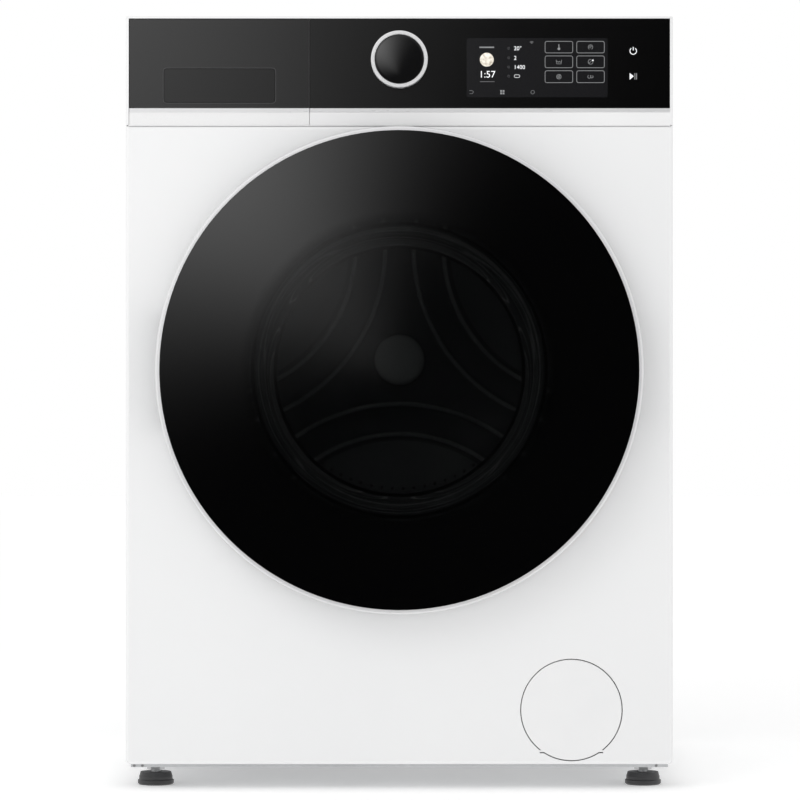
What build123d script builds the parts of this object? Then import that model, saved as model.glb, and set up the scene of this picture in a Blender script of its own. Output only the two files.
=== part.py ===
from build123d import *
import os
from math import acos, atan2, cos, radians, sin, sqrt, tan

# Front load washing machine, in millimetres.
# +X is the right-hand side seen from the front, -Y is the front and +Z is up.
# The origin is under the middle of the machine, on the floor.

# ---------------------------------------------------------------- overall sizes
cabinet_width = 598.0
overall_height = 845.0
cabinet_depth = 543.0
door_proud = 48.0
spigot_proud = 14.0

sheet = 1.0
plastic = 2.5
running_gap = 0.05
moving_gap = 0.4
seam = 0.7

front = door_proud - (door_proud + cabinet_depth + spigot_proud) / 2
rear = front + cabinet_depth
half_width = cabinet_width / 2

# ---------------------------------------------------------------- heights of the front
base_bottom = 24.0
base_plate = 3.4
panel_bottom = base_bottom + base_plate
worktop_edge = 2.4
worktop_underside = overall_height - worktop_edge
fascia_height = 116.4
fascia_bottom = worktop_underside - fascia_height
band_height = 13.8
trim_height = 4.5
trim_bottom = fascia_bottom + band_height
glass_bottom = trim_bottom + trim_height
front_panel_top = fascia_bottom - seam

front_return = 20.0
corner_radius = 5.0
edge_radius = 4.0
side_strip = 3.3

# ---------------------------------------------------------------- door
door_axis_z = 458.0
door_radius = 264.0
door_ring_width = 4.5
door_back_gap = 6.0
door_dome = 4.5
door_glass = 4.0
door_window_radius = 176.0
bowl_tip_radius = 140.0
bowl_reach = 122.0
bowl_glass = 5.0
panel_opening_radius = 192.0

hinge_inset = 14.0
hinge_ahead = 28.0
hinge_pin_radius = 4.0
hinge_knuckle_radius = 8.0
hinge_knuckle_height = 78.0
hinge_ear = 10.0
hinge_x = hinge_inset - door_radius
hinge_notch_half = 62.0
hinge_notch_reach = 60.0

hook_x = 215.0
hook_pivot_ahead = 16.0
hook_pin_radius = 2.0
hook_tip_depth = 14.0
hook_height = 16.0
grip_half_height = 58.0
grip_depth = 24.0
grip_reach = 40.0

# ---------------------------------------------------------------- tub and drum
drum_lift = 16.0
drum_axis_z = door_axis_z + drum_lift
drum_radius = 250.0
drum_sheet = 1.0
drum_front_depth = 104.0
drum_length = 300.0
drum_mouth_radius = 188.0
drum_disc_radius = 31.0
drum_gap = 14.0
tub_wall = 4.0
tub_radius = drum_radius + drum_gap + tub_wall
tub_mouth_radius = drum_mouth_radius + 2.0
tub_front_depth = 82.0
tub_lip = 16.0
tub_rear_depth = drum_front_depth + drum_length + 36.0
tub_split_depth = 258.0
tub_flange = 10.0
shaft_radius = 15.0
bearing_radius = 31.0
bearing_width = 16.0
bearing_spread = 34.0
hub_radius = 40.0
pulley_radius = 140.0
pulley_width = 20.0
pulley_depth = tub_rear_depth + 40.0

# ---------------------------------------------------------------- motor and belt
motor_x = -72.0
motor_z = 118.0
motor_radius = 60.0
motor_length = 130.0
motor_shaft_radius = 8.0
motor_pulley_radius = 10.0
belt_thickness = 3.0
belt_gap = 0.3

# ---------------------------------------------------------------- suspension
spring_x = 262.0
spring_depth = 300.0
spring_radius = 12.0
spring_wire = 3.0
hanger_drop = 70.0
tub_lug_z = drum_axis_z + 170.0
damper_x = 215.0
damper_depth = 262.0
damper_radius = 17.0
damper_rod_radius = 6.0
damper_bottom = panel_bottom + 12.0
damper_length = 120.0
damper_lug_z = 240.0

# ---------------------------------------------------------------- drawer and dispenser
drawer_right = -98.2
drawer_front_depth = 14.0
drawer_cup_depth = 34.0
flap_left = -257.0
flap_right = -136.0
flap_low = -91.6
flap_high = -55.2
flap_thickness = 2.4
flap_gap = 0.5
flap_corner = 3.0
flap_pin_radius = 1.5
tray_left = -281.0
tray_right = -113.0
tray_low = worktop_underside - 92.0
tray_high = worktop_underside - 40.0
tray_length = 206.0
tray_wall = 2.0
housing_gap = 2.0
housing_wall = 2.0
housing_high = worktop_underside - 14.0

# ---------------------------------------------------------------- knob and controls
knob_x = 0.0
knob_z = worktop_underside - 45.6
knob_radius = 31.0
knob_ring_width = 4.0
knob_proud = 15.0
knob_shaft_radius = 3.0
fascia_glass = 3.0
board_depth = 14.0
board_thickness = 1.6

# ---------------------------------------------------------------- drain
filter_x = 188.0
filter_z = 87.0
filter_cover_radius = 55.0
filter_cover_gap = 1.0
filter_cover_thickness = 2.5
filter_hinge_drop = filter_cover_radius - 10.0
filter_pin_radius = 1.2
filter_notch_half = 2.2
filter_radius = 30.0
filter_grip_depth = 14.0
filter_length = 84.0
pump_wall = 3.0
pump_length = 90.0
impeller_radius = 19.0
sump_x = 100.0
sump_depth = 150.0
sump_hose_radius = 20.0
sump_hose_wall = 2.5

# ---------------------------------------------------------------- water and power at the rear
valve_x = -232.0
valve_z = worktop_underside - 52.0
spigot_radius = 13.2
drain_x = 270.0
drain_z = worktop_underside - 62.0
drain_hose_radius = 11.0
drain_hose_wall = 2.0
gland_x = -232.0
gland_z = 110.0
service_radius = 205.0
transit_x = 238.0
transit_half_height = 160.0
transit_radius = 14.0

# ---------------------------------------------------------------- feet
foot_x = 270.0
foot_inset = 60.0
foot_radius = 20.0
foot_height = 14.0
foot_stem_radius = 5.0
foot_stem_top = 62.0
nut_across_flats = 17.0
nut_height = 7.5

os.makedirs("parts", exist_ok=True)


# ---------------------------------------------------------------- helpers
def save(node, shape):
    """Write one sub-part as parts/NODE.step."""
    export_step(shape, f"parts/{node}.step")


def block(x_range, y_range, z_range):
    """Box between a low and a high plane on each axis."""
    ranges = (x_range, y_range, z_range)
    size = [high - low for low, high in ranges]
    centre = [(high + low) / 2 for low, high in ranges]
    return Pos(*centre) * Box(*size)


def rod_x(radius, x_range, y, z):
    """Round bar along X."""
    length = x_range[1] - x_range[0]
    return Pos(sum(x_range) / 2, y, z) * Rot(0, 90, 0) * Cylinder(radius, length)


def rod_y(radius, y_range, x, z):
    """Round bar along Y."""
    length = y_range[1] - y_range[0]
    return Pos(x, sum(y_range) / 2, z) * Rot(90, 0, 0) * Cylinder(radius, length)


def rod_z(radius, z_range, x, y):
    """Round bar along Z."""
    length = z_range[1] - z_range[0]
    return Pos(x, y, sum(z_range) / 2) * Cylinder(radius, length)


def turned(points, axis_z, rounding=None):
    """Body turned about a horizontal axis along Y; points are (radius, y)."""
    outline = make_face(Polyline(*points, close=True))
    if rounding:
        outline = fillet(outline.vertices(), rounding)
    return revolve(Pos(0, 0, axis_z) * outline, Axis((0, 0, axis_z), (0, 1, 0)), 360)


def sheet_outline(half, low, high, radius, depth_range, edge):
    """Slab with rounded lower corners and rounded front edges, extruded along Y."""
    slab = block((-half, half), depth_range, (low, high))
    lower_corners = slab.edges().filter_by(Axis.Y).group_by(Axis.Z)[0]
    slab = fillet(lower_corners, radius)
    front_face = slab.faces().sort_by(Axis.Y)[0]
    return fillet(front_face.edges(), edge)


def hexagon(across_flats, z_range, x, y):
    """Hexagonal prism along Z."""
    flat = RegularPolygon(across_flats / sqrt(3), 6)
    return Pos(x, y, z_range[0]) * extrude(flat, z_range[1] - z_range[0])


def bend_radii(points):
    """Largest arcs that fit the straight runs on both sides of each corner."""
    radii = []
    for before, corner, after in zip(points, points[1:], points[2:]):
        run_in = Vector(*corner) - Vector(*before)
        run_out = Vector(*after) - Vector(*corner)
        half_turn = radians(run_in.get_angle(run_out)) / 2
        radii.append(0.45 * min(run_in.length, run_out.length) / tan(half_turn))
    return radii


def hose(points, outer, wall):
    """Hollow tube along straight runs joined by tangent arcs."""
    path = FilletPolyline(*points, radius=bend_radii(points))
    start = Plane(path @ 0, z_dir=path % 0)
    ring = start * (Circle(outer) - Circle(outer - wall))
    return sweep(ring, path)


def tub_z(x, radius):
    """Half height of a circle of this radius at a sideways distance from its axis."""
    return sqrt(radius**2 - x**2)


# ---------------------------------------------------------------- cabinet
def side_panel(side):
    """Pressed steel side: a flat sheet with a shallow pressing and a rear flange."""
    y_range = (front + front_return + seam, rear - sheet)
    z_range = (panel_bottom, worktop_underside)
    width = y_range[1] - y_range[0]
    height = z_range[1] - z_range[0]
    press_border = 55.0
    press_depth = 3.0
    slab_thickness = 12.0
    slab = Pos(0, 0, -slab_thickness / 2) * Box(width, height, slab_thickness)
    pocket_outline = RectangleRounded(width - 2 * press_border, height - 2 * press_border, 30)
    slab -= extrude(pocket_outline, -press_depth, taper=60)
    skin = slab - Pos(0, 0, -sheet) * slab
    place = Plane(
        (side * half_width, sum(y_range) / 2, sum(z_range) / 2),
        x_dir=(0, 1, 0),
        z_dir=(side, 0, 0),
    )
    skin = place * skin
    flange_width = 14.0
    inner = half_width - sheet
    x_flange = sorted((side * inner, side * (inner - flange_width)))
    skin += block(x_flange, (y_range[1] - sheet, y_range[1]), z_range)
    return skin + spring_hanger(side)


def spring_hanger(side):
    """Bracket welded to the side sheet, with a pin that carries the spring's hook."""
    hanger_z = worktop_underside - hanger_drop
    plate = 3.0
    half_length = 22.0
    y_mid = front + spring_depth
    x_range = sorted((side * (half_width - sheet), side * (spring_x - 8)))
    arm = block(x_range, (y_mid - plate / 2, y_mid + plate / 2), (hanger_z - 12, hanger_z + 14))
    x_foot = sorted((side * (half_width - sheet), side * (half_width - sheet - plate)))
    foot = block(x_foot, (y_mid - half_length, y_mid + half_length), (hanger_z - 12, hanger_z + 30))
    return arm + foot


def rear_panel():
    """Flat rear sheet with its service opening and the holes of what passes through."""
    y_range = (rear - sheet, rear)
    panel = block((-half_width, half_width), y_range, (panel_bottom, worktop_underside))
    cut = (rear - 2 * sheet, rear + sheet)
    panel -= rod_y(service_radius - 15, cut, 0, drum_axis_z)
    panel -= rod_y(spigot_radius + 2, cut, valve_x, valve_z)
    panel -= rod_y(drain_hose_radius + 3, cut, drain_x, drain_z)
    panel -= rod_y(9, cut, gland_x, gland_z)
    for x, z in transit_places():
        panel -= rod_y(transit_radius, cut, x, z)
    return panel


def transit_places():
    """Centres of the four transit bolt holes."""
    heights = (drum_axis_z - transit_half_height, drum_axis_z + transit_half_height)
    return [(x, z) for x in (-transit_x, transit_x) for z in heights]


def transit_plugs():
    """Four snap-in caps that close the transit bolt holes."""
    cap = 2.5
    barbs = 8.0
    plugs = []
    for x, z in transit_places():
        plug = rod_y(transit_radius + 4, (rear, rear + cap), x, z)
        plug += rod_y(transit_radius - 0.3, (rear - barbs, rear), x, z)
        plug -= rod_y(transit_radius - 2.5, (rear - barbs - 1, rear - 1), x, z)
        plugs.append(plug)
    return Compound(plugs)


def rear_service_cover():
    """Dished round cover over the pulley, with three rings of ribs pressed in it."""
    dish = 9.0
    flange_y = rear + sheet
    profile = [
        (0, rear + dish),
        (service_radius - 30, rear + dish),
        (service_radius - 20, flange_y),
        (service_radius, flange_y),
        (service_radius, rear),
        (service_radius - 20.5, rear),
        (service_radius - 30.5, rear + dish - sheet),
        (0, rear + dish - sheet),
    ]
    cover = turned(profile, drum_axis_z)
    for ring in (50, 95, 140):
        groove = turned(
            [
                (ring, rear + dish + 1),
                (ring + 12, rear + dish + 1),
                (ring + 12, rear + dish - sheet / 2),
                (ring, rear + dish - sheet / 2),
            ],
            drum_axis_z,
        )
        cover -= groove
    return cover


def rear_screws():
    """Screws round the service cover and along the rear panel's sides."""
    head_radius = 4.5
    head = 2.5
    screws = []
    ring = service_radius - 8
    places = []
    for step in range(8):
        angle = radians(22.5 + 45 * step)
        places.append((ring * cos(angle), drum_axis_z + ring * sin(angle), rear + sheet))
    for x in (-half_width + 9, half_width - 9):
        for share in (0.06, 0.35, 0.65, 0.94):
            z = panel_bottom + share * (worktop_underside - panel_bottom)
            places.append((x, z, rear))
    for x, z, y in places:
        screws.append(rod_y(head_radius, (y, y + head), x, z))
    return Compound(screws)


def top_panel():
    """Worktop: a thin plate with a stiffening rim under it."""
    plate = block(
        (-half_width, half_width), (front, rear), (worktop_underside, overall_height)
    )
    corners = plate.edges().filter_by(Axis.Z)
    plate = fillet(corners, corner_radius)
    plate = fillet(plate.faces().sort_by(Axis.Z)[-1].edges(), worktop_edge / 3)
    rim_height = 12.0
    rim_width = 10.0
    outer = half_width - sheet - 0.5
    y_front = front + front_return + 6
    y_rear = rear - 3 * sheet
    z_range = (worktop_underside - rim_height, worktop_underside)
    rim = block((-outer, outer), (y_front, y_rear), z_range)
    rim -= block(
        (-outer + rim_width, outer - rim_width),
        (y_front + rim_width, y_rear - rim_width),
        z_range,
    )
    x_keep = (drawer_right + 20, outer)
    rim -= block((-outer + rim_width, x_keep[0]), (y_front - 1, y_front + 40), z_range)
    return plate + rim


def front_panel():
    """Front sheet, folded back on four sides, with the openings for door and filter."""
    panel = sheet_outline(
        half_width,
        panel_bottom,
        front_panel_top,
        corner_radius,
        (front, front + front_return),
        edge_radius,
    )
    inner = sheet_outline(
        half_width - sheet,
        panel_bottom + sheet,
        front_panel_top - sheet,
        corner_radius - sheet,
        (front + sheet, front + front_return + 1),
        edge_radius - sheet,
    )
    panel -= inner
    through = (front - 1, front + 2 * sheet)
    panel -= rod_y(panel_opening_radius, through, 0, door_axis_z)
    panel -= rod_y(filter_cover_radius + filter_cover_gap, through, filter_x, filter_z)
    slot_half = hook_height / 2 + 4
    slot_z = (door_axis_z - slot_half, door_axis_z + slot_half)
    panel -= block((hook_x - 11, hook_x + 9), through, slot_z)
    pin_z = filter_z - filter_hinge_drop
    pin_y = front + filter_cover_thickness / 2
    notch_half = filter_pin_reach() - 5
    notch_z = (pin_z - filter_notch_half, pin_z + filter_notch_half)
    panel -= block((filter_x - notch_half, filter_x + notch_half), through, notch_z)
    for side in (-1, 1):
        near = filter_x + side * filter_pin_reach()
        tab_x = sorted((near, near + side * 4))
        tab = block(tab_x, (front + sheet, front + 6), (pin_z - 4, pin_z + 4))
        panel += tab
        panel -= rod_x(filter_pin_radius + running_gap, (near - 12, near + 12), pin_y, pin_z)
    lip = 2.0
    lip_y = (front, front + 14)
    panel += rod_y(panel_opening_radius + lip, lip_y, 0, door_axis_z) - rod_y(
        panel_opening_radius, lip_y, 0, door_axis_z
    )
    return panel


def filter_pin_reach():
    """Sideways distance from the cover's middle to its hinge tabs."""
    outer = filter_cover_radius + filter_cover_gap
    tab_half = 4.5
    return sqrt(outer**2 - (filter_hinge_drop - tab_half) ** 2) + 1


def base_tray():
    """Moulded floor of the cabinet, with walls, foot bosses and damper sockets."""
    x_half = half_width - 5
    tray = block((-x_half, x_half), (front + 6, rear - 2), (base_bottom, panel_bottom))
    wall = 3.0
    wall_top = panel_bottom + 46
    y_low = front + front_return + 1.5
    y_high = rear - 2 * sheet - 14
    rim = block((-x_half + 1, x_half - 1), (y_low, y_high), (panel_bottom, wall_top))
    rim -= block(
        (-x_half + 1 + wall, x_half - 1 - wall),
        (y_low + wall, y_high - wall),
        (panel_bottom, wall_top),
    )
    tray += rim
    for x, y in foot_places():
        tray += rod_z(foot_stem_radius + 9, (panel_bottom, panel_bottom + 20), x, y)
    for side in (-1, 1):
        socket = (panel_bottom, damper_bottom)
        tray += rod_z(damper_radius + 5, socket, side * damper_x, front + damper_depth)
    rib_height = 14.0
    for rib_y in (front + 130, front + 400):
        tray += block(
            (-x_half + 2, x_half - 2), (rib_y, rib_y + wall), (panel_bottom, panel_bottom + rib_height)
        )
    for x, y in foot_places():
        tray -= rod_z(foot_stem_radius + running_gap, (base_bottom - 1, foot_stem_top + 20), x, y)
    notch = filter_radius + pump_wall + 4
    tray -= rod_y(notch, (y_low - 1, y_low + wall + 1), filter_x, filter_z)
    return tray


def foot_places():
    """Centres of the four feet, front pair first, left before right."""
    rows = (front + foot_inset, rear - foot_inset)
    return [(x, y) for y in rows for x in (-foot_x, foot_x)]


def foot(x, y):
    """Levelling foot: a moulded pad with a groove, and its threaded stem."""
    flare = 1.5
    groove_depth = 1.5
    pad_points = [
        (0, 0),
        (foot_radius - flare, 0),
        (foot_radius, 1.5),
        (foot_radius, 5),
        (foot_radius - groove_depth, 6),
        (foot_radius - groove_depth, 8),
        (foot_radius - flare, 9),
        (foot_radius - 2 * flare, foot_height),
        (0, foot_height),
    ]
    outline = Plane.XZ * make_face(Polyline(*pad_points, close=True))
    pad = Pos(x, y, 0) * revolve(outline, Axis.Z, 360)
    stem = rod_z(foot_stem_radius, (foot_height, foot_stem_top), x, y)
    return Compound([pad.solid(), stem.solid()])


def lock_nuts():
    """Four hexagon nuts that hold the feet against the base."""
    nuts = []
    for x, y in foot_places():
        nut = hexagon(nut_across_flats, (base_bottom - nut_height, base_bottom), x, y)
        nut -= rod_z(foot_stem_radius + running_gap, (0, base_bottom + 1), x, y)
        nuts.append(nut)
    return Compound(nuts)


# ---------------------------------------------------------------- fascia and controls
def fascia_carrier():
    """White moulding behind the control glass, with the band under it."""
    depth = front_return
    rail = 4.0
    outer = block((-half_width, half_width), (front, front + depth), (fascia_bottom, worktop_underside))
    corners = outer.faces().sort_by(Axis.Y)[0].edges().filter_by(Axis.Z)
    outer = fillet(corners, edge_radius - 1)
    ledge = fascia_glass + 0.2
    outer -= block(
        (-half_width + plastic, half_width - plastic),
        (front + ledge + plastic, front + depth + 1),
        (fascia_bottom + plastic, worktop_underside - plastic),
    )
    wall_x = (drawer_right + moving_gap, drawer_right + moving_gap + plastic)
    outer += block(wall_x, (front + ledge, front + depth), (fascia_bottom, worktop_underside))
    opening_x = (-half_width + side_strip, drawer_right + moving_gap)
    outer -= block(opening_x, (front - 1, front + depth - rail), (fascia_bottom - 1, worktop_underside + 1))
    outer -= block(
        opening_x,
        (front - 1, front + depth + 1),
        (fascia_bottom + plastic, worktop_underside - plastic),
    )
    outer -= block(
        (drawer_right, half_width - side_strip),
        (front - 1, front + ledge),
        (trim_bottom, worktop_underside + 1),
    )
    outer -= rod_y(knob_shaft_radius + 5, (front - 1, front + depth), knob_x, knob_z)
    return outer


def fascia_panel():
    """Gloss control glass, with the hole for the knob's shaft."""
    glass = block(
        (drawer_right + moving_gap, half_width - side_strip - 0.1),
        (front, front + fascia_glass),
        (glass_bottom, worktop_underside - 0.2),
    )
    glass = fillet(glass.faces().sort_by(Axis.Y)[0].edges(), 0.6)
    return glass - rod_y(knob_shaft_radius + 3, (front - 1, front + 9), knob_x, knob_z)


def fascia_trim():
    """Bright strip under the control glass."""
    strip = block(
        (drawer_right + moving_gap, half_width - side_strip - 0.1),
        (front - 0.4, front + fascia_glass),
        (trim_bottom + 0.05, glass_bottom - 0.05),
    )
    return fillet(strip.faces().sort_by(Axis.Y)[0].edges(), 0.6)


def control_board():
    """Circuit board behind the glass, with the display, relays and the knob's encoder."""
    y_board = (front + board_depth, front + board_depth + board_thickness)
    x_range = (drawer_right + 14, half_width - 14)
    z_range = (fascia_bottom + 14, worktop_underside - 8)
    board = block(x_range, y_board, z_range)
    display_y = (front + fascia_glass + plastic + 0.5, y_board[0])
    board += block((74, 228), display_y, (worktop_underside - 86, worktop_underside - 22))
    encoder = block((knob_x - 8, knob_x + 8), display_y, (knob_z - 8, knob_z + 8))
    board += encoder
    for x in (-60, 40, 120, 200, 262):
        connector_z = (fascia_bottom + 24, fascia_bottom + 44)
        board += block((x - 9, x + 9), (y_board[1], y_board[1] + 6), connector_z)
    bore_y = (front, y_board[1] + 1)
    return board - rod_y(knob_shaft_radius + running_gap, bore_y, knob_x, knob_z)


def knob_cap():
    """Black knob face with its shaft."""
    radius = knob_radius - knob_ring_width - 0.1
    cap = rod_y(radius, (front - knob_proud + 1, front - 1), knob_x, knob_z)
    cap = fillet(cap.faces().sort_by(Axis.Y)[0].edges(), 1.2)
    shaft = rod_y(knob_shaft_radius, (front - 1, front + board_depth - 1), knob_x, knob_z)
    return cap + shaft


def knob_ring():
    """Bright ring round the knob, bevelled on its inside edge."""
    y_range = (front - knob_proud, front - 1)
    ring = rod_y(knob_radius, y_range, knob_x, knob_z)
    ring = fillet(ring.faces().sort_by(Axis.Y)[0].edges(), 1.0)
    bore = rod_y(knob_radius - knob_ring_width, (y_range[0] - 1, y_range[1] + 1), knob_x, knob_z)
    ring -= bore
    inner_edge = ring.faces().sort_by(Axis.Y)[0].edges().sort_by(SortBy.LENGTH)[0]
    return chamfer(inner_edge, 0.8)


# ---------------------------------------------------------------- drawer
def flap_z():
    """Lower and upper edge of the grip flap."""
    return (worktop_underside + flap_low, worktop_underside + flap_high)


def drawer_front():
    """Hollow front of the detergent drawer, with the finger cup behind the flap."""
    low = fascia_bottom
    high = worktop_underside - moving_gap
    left = -half_width + side_strip + moving_gap
    shell = block((left, drawer_right), (front, front + drawer_front_depth), (low, high))
    shell = fillet(shell.faces().sort_by(Axis.Y)[0].edges(), 0.6)
    shell -= block(
        (left + plastic, drawer_right - plastic),
        (front + plastic, front + drawer_front_depth + 1),
        (low + plastic, high - plastic),
    )
    cup_x = (flap_left - 4, flap_right + 4)
    cup_z = (flap_z()[0] - 4, flap_z()[1] + 4)
    cup = block(cup_x, (front + plastic, front + drawer_cup_depth), cup_z)
    cup -= block(
        (cup_x[0] + 2, cup_x[1] - 2),
        (front, front + drawer_cup_depth - 2),
        (cup_z[0] + 2, cup_z[1] - 2),
    )
    shell += cup
    shell -= rounded_window(flap_gap, (front - 1, front + plastic + 0.1))
    pin_y, pin_z = flap_pin()
    for x in (flap_left - flap_gap, flap_right + flap_gap):
        shell -= rod_x(flap_pin_radius + running_gap, (x - 3, x + 3), pin_y, pin_z)
    return shell


def rounded_window(margin, y_range):
    """Rounded block in the flap's place, larger than the flap by a margin all round."""
    low, high = flap_z()
    body = block((flap_left - margin, flap_right + margin), y_range, (low - margin, high + margin))
    return fillet(body.edges().filter_by(Axis.Y), flap_corner + margin)


def flap_pin():
    """Y and Z of the flap's hinge axis, just inside its upper edge."""
    return (front + flap_thickness / 2 + 0.5, flap_z()[1] - 3)


def drawer_flap():
    """Sprung flap that gives way to the fingers, with a pin at each upper corner."""
    flap = rounded_window(0, (front, front + flap_thickness))
    pin_y, pin_z = flap_pin()
    flap += rod_x(flap_pin_radius, (flap_left - 2, flap_right + 2), pin_y, pin_z)
    return flap


def drawer_tray():
    """Detergent tray with three open compartments."""
    y_range = (front + drawer_cup_depth, front + drawer_cup_depth + tray_length)
    tray = block((tray_left, tray_right), y_range, (tray_low, tray_high))
    for x_range, compartment_y in tray_compartments():
        tray -= block(x_range, compartment_y, (tray_low + tray_wall, tray_high + 1))
    return tray


def tray_compartments():
    """X and Y ranges of the main wash, softener and prewash compartments."""
    y_low = front + drawer_cup_depth + tray_wall
    y_high = front + drawer_cup_depth + tray_length - tray_wall
    split_x = tray_left + 0.58 * (tray_right - tray_left)
    split_y = y_low + 0.55 * (y_high - y_low)
    left = (tray_left + tray_wall, split_x - tray_wall / 2)
    right = (split_x + tray_wall / 2, tray_right - tray_wall)
    return [
        (left, (y_low, y_high)),
        (right, (y_low, split_y - tray_wall / 2)),
        (right, (split_y + tray_wall / 2, y_high)),
    ]


def siphon_cap():
    """Lift-out cap over the softener compartment's siphon."""
    x_range, y_range = tray_compartments()[2]
    high = tray_low + 30
    cap = block(
        (x_range[0] + 0.5, x_range[1] - 0.5), (y_range[1] - 30, y_range[1] - 0.5), (high, high + 2)
    )
    x_mid = sum(x_range) / 2
    cap += rod_z(6, (tray_low + tray_wall, high), x_mid, y_range[1] - 15)
    cap -= rod_z(4, (tray_low, high), x_mid, y_range[1] - 15)
    return cap


def dispenser_y():
    """Front and rear of the dispenser housing."""
    return (front + front_return + 4, front + drawer_cup_depth + tray_length + 14)


def dispenser_housing():
    """Box that the drawer slides in, with its water inlet and the outlet to the tub."""
    y_low, y_high = dispenser_y()
    gap = housing_gap + housing_wall
    x_range = (tray_left - gap, tray_right + gap)
    z_range = (tray_low - gap - 6, housing_high)
    body = block(x_range, (y_low, y_high), z_range)
    inner_top = tray_high + housing_gap + 10
    body -= block(
        (x_range[0] + housing_wall, x_range[1] - housing_wall),
        (y_low - 1, y_high - housing_wall),
        (z_range[0] + housing_wall, inner_top),
    )
    body -= block(
        (x_range[0] + housing_wall, x_range[1] - housing_wall),
        (y_low + 20, y_high - housing_wall),
        (inner_top + housing_wall, z_range[1] - housing_wall),
    )
    outlet_x, outlet_y = outlet_place()
    spout = (z_range[0] - 16, z_range[0] + 1)
    body += rod_z(22, spout, outlet_x, outlet_y)
    body -= rod_z(19, (spout[0] - 1, spout[1] + 3), outlet_x, outlet_y)
    inlet_z = housing_inlet_z()
    body += rod_y(7, (y_high, y_high + 14), valve_x + 20, inlet_z)
    body -= rod_y(5, (y_high - 3, y_high + 15), valve_x + 20, inlet_z)
    return body


def housing_bottom():
    """Lower end of the housing's outlet spout."""
    return tray_low - housing_gap - housing_wall - 6 - 16


def housing_inlet_z():
    """Height of the water inlet on the housing's rear wall."""
    return housing_high - 10


def outlet_place():
    """X and Y of the outlet from the dispenser to the tub."""
    return ((tray_left + tray_right) / 2, dispenser_y()[1] - 60)


# ---------------------------------------------------------------- water and power
def inlet_valve():
    """Solenoid valve with its threaded spigot through the rear panel."""
    body = block((valve_x - 18, valve_x + 18), (rear - 40, rear - sheet), (valve_z - 18, valve_z + 18))
    body += block((valve_x - 14, valve_x + 14), (rear - 38, rear - 10), (valve_z + 18, valve_z + 33))
    body += rod_y(spigot_radius, (rear - sheet, rear + spigot_proud), valve_x, valve_z)
    body += rod_y(7, (rear - 54, rear - 40), valve_x, valve_z)
    body -= rod_y(8, (rear - 10, rear + spigot_proud + 1), valve_x, valve_z)
    body -= rod_y(5, (rear - 55, rear - 30), valve_x, valve_z)
    return body


def inlet_hose():
    """Rubber hose from the valve to the dispenser."""
    start = (valve_x, rear - 54.1, valve_z)
    end = (valve_x + 20, dispenser_y()[1] + 14.1, housing_inlet_z())
    span = start[1] - end[1]
    points = [
        start,
        (start[0], start[1] - 0.3 * span, start[2]),
        (end[0], end[1] + 0.3 * span, end[2]),
        end,
    ]
    return hose(points, 7, 2)


def cable_gland():
    """Collar for the mains lead in the rear panel."""
    gland = rod_y(14, (rear, rear + 8), gland_x, gland_z)
    gland += rod_y(8.8, (rear - 14, rear), gland_x, gland_z)
    return gland - rod_y(4.5, (rear - 15, rear + 9), gland_x, gland_z)


def drain_hose():
    """Hose inside the cabinet, from the pump to the rear outlet."""
    outlet = pump_outlet()
    run_z = panel_bottom + 34
    riser_y = rear - 44
    points = [
        outlet,
        (drain_x, outlet[1], outlet[2]),
        (drain_x, outlet[1] + 70, run_z),
        (drain_x, riser_y, run_z + 4),
        (drain_x, riser_y, drain_z),
        (drain_x, rear + 6, drain_z),
    ]
    return hose(points, drain_hose_radius, drain_hose_wall)


# ---------------------------------------------------------------- pump and filter
def pump_outlet():
    """Point where the pump's outlet ends, on its right side."""
    volute_y = front + filter_grip_depth + 8 + filter_length + 14
    return (filter_x + filter_radius + pump_wall + 6, volute_y, filter_z)


def drain_pump():
    """Filter housing, pump chamber and pump motor in line."""
    outer = filter_radius + pump_wall
    y_low = front + filter_grip_depth + 8
    chamber = y_low + filter_length
    y_motor = chamber + 28
    body = rod_y(outer, (y_low, y_motor), filter_x, filter_z)
    body += rod_y(26, (y_motor, y_motor + pump_length - 28), filter_x, filter_z)
    inlet_x = filter_x - outer - 10
    port_y = y_low + filter_length / 2
    body += rod_x(17, (inlet_x, filter_x), port_y, filter_z + 6)
    outlet = pump_outlet()
    body += rod_x(9, (filter_x, outlet[0]), outlet[1], outlet[2])
    body += block((filter_x - 36, filter_x + 36), (y_low + 10, y_low + 30), (panel_bottom, filter_z))
    body -= rod_y(filter_radius + 0.3, (y_low - 1, chamber - 4), filter_x, filter_z)
    body -= rod_y(12, (chamber - 5, chamber + 1), filter_x, filter_z)
    body -= rod_y(impeller_radius + 3, (chamber, chamber + 24), filter_x, filter_z)
    body -= rod_x(14, (inlet_x - 1, filter_x), port_y, filter_z + 6)
    body -= rod_x(7, (filter_x, outlet[0] + 1), outlet[1], outlet[2])
    shaft_bore = (chamber + 20, y_motor + 20)
    body -= rod_y(3 + running_gap, shaft_bore, filter_x, filter_z)
    return body


def pump_impeller():
    """Four-bladed impeller on its shaft."""
    chamber = front + filter_grip_depth + 8 + filter_length
    disc = rod_y(impeller_radius, (chamber + 17, chamber + 20), filter_x, filter_z)
    disc += rod_y(3, (chamber + 2, chamber + 45), filter_x, filter_z)
    for quarter in range(4):
        blade = block((1, impeller_radius - 1), (chamber + 3, chamber + 17.5), (-1.2, 1.2))
        disc += Pos(filter_x, 0, filter_z) * Rot(0, 90 * quarter, 0) * blade
    return disc


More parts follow.
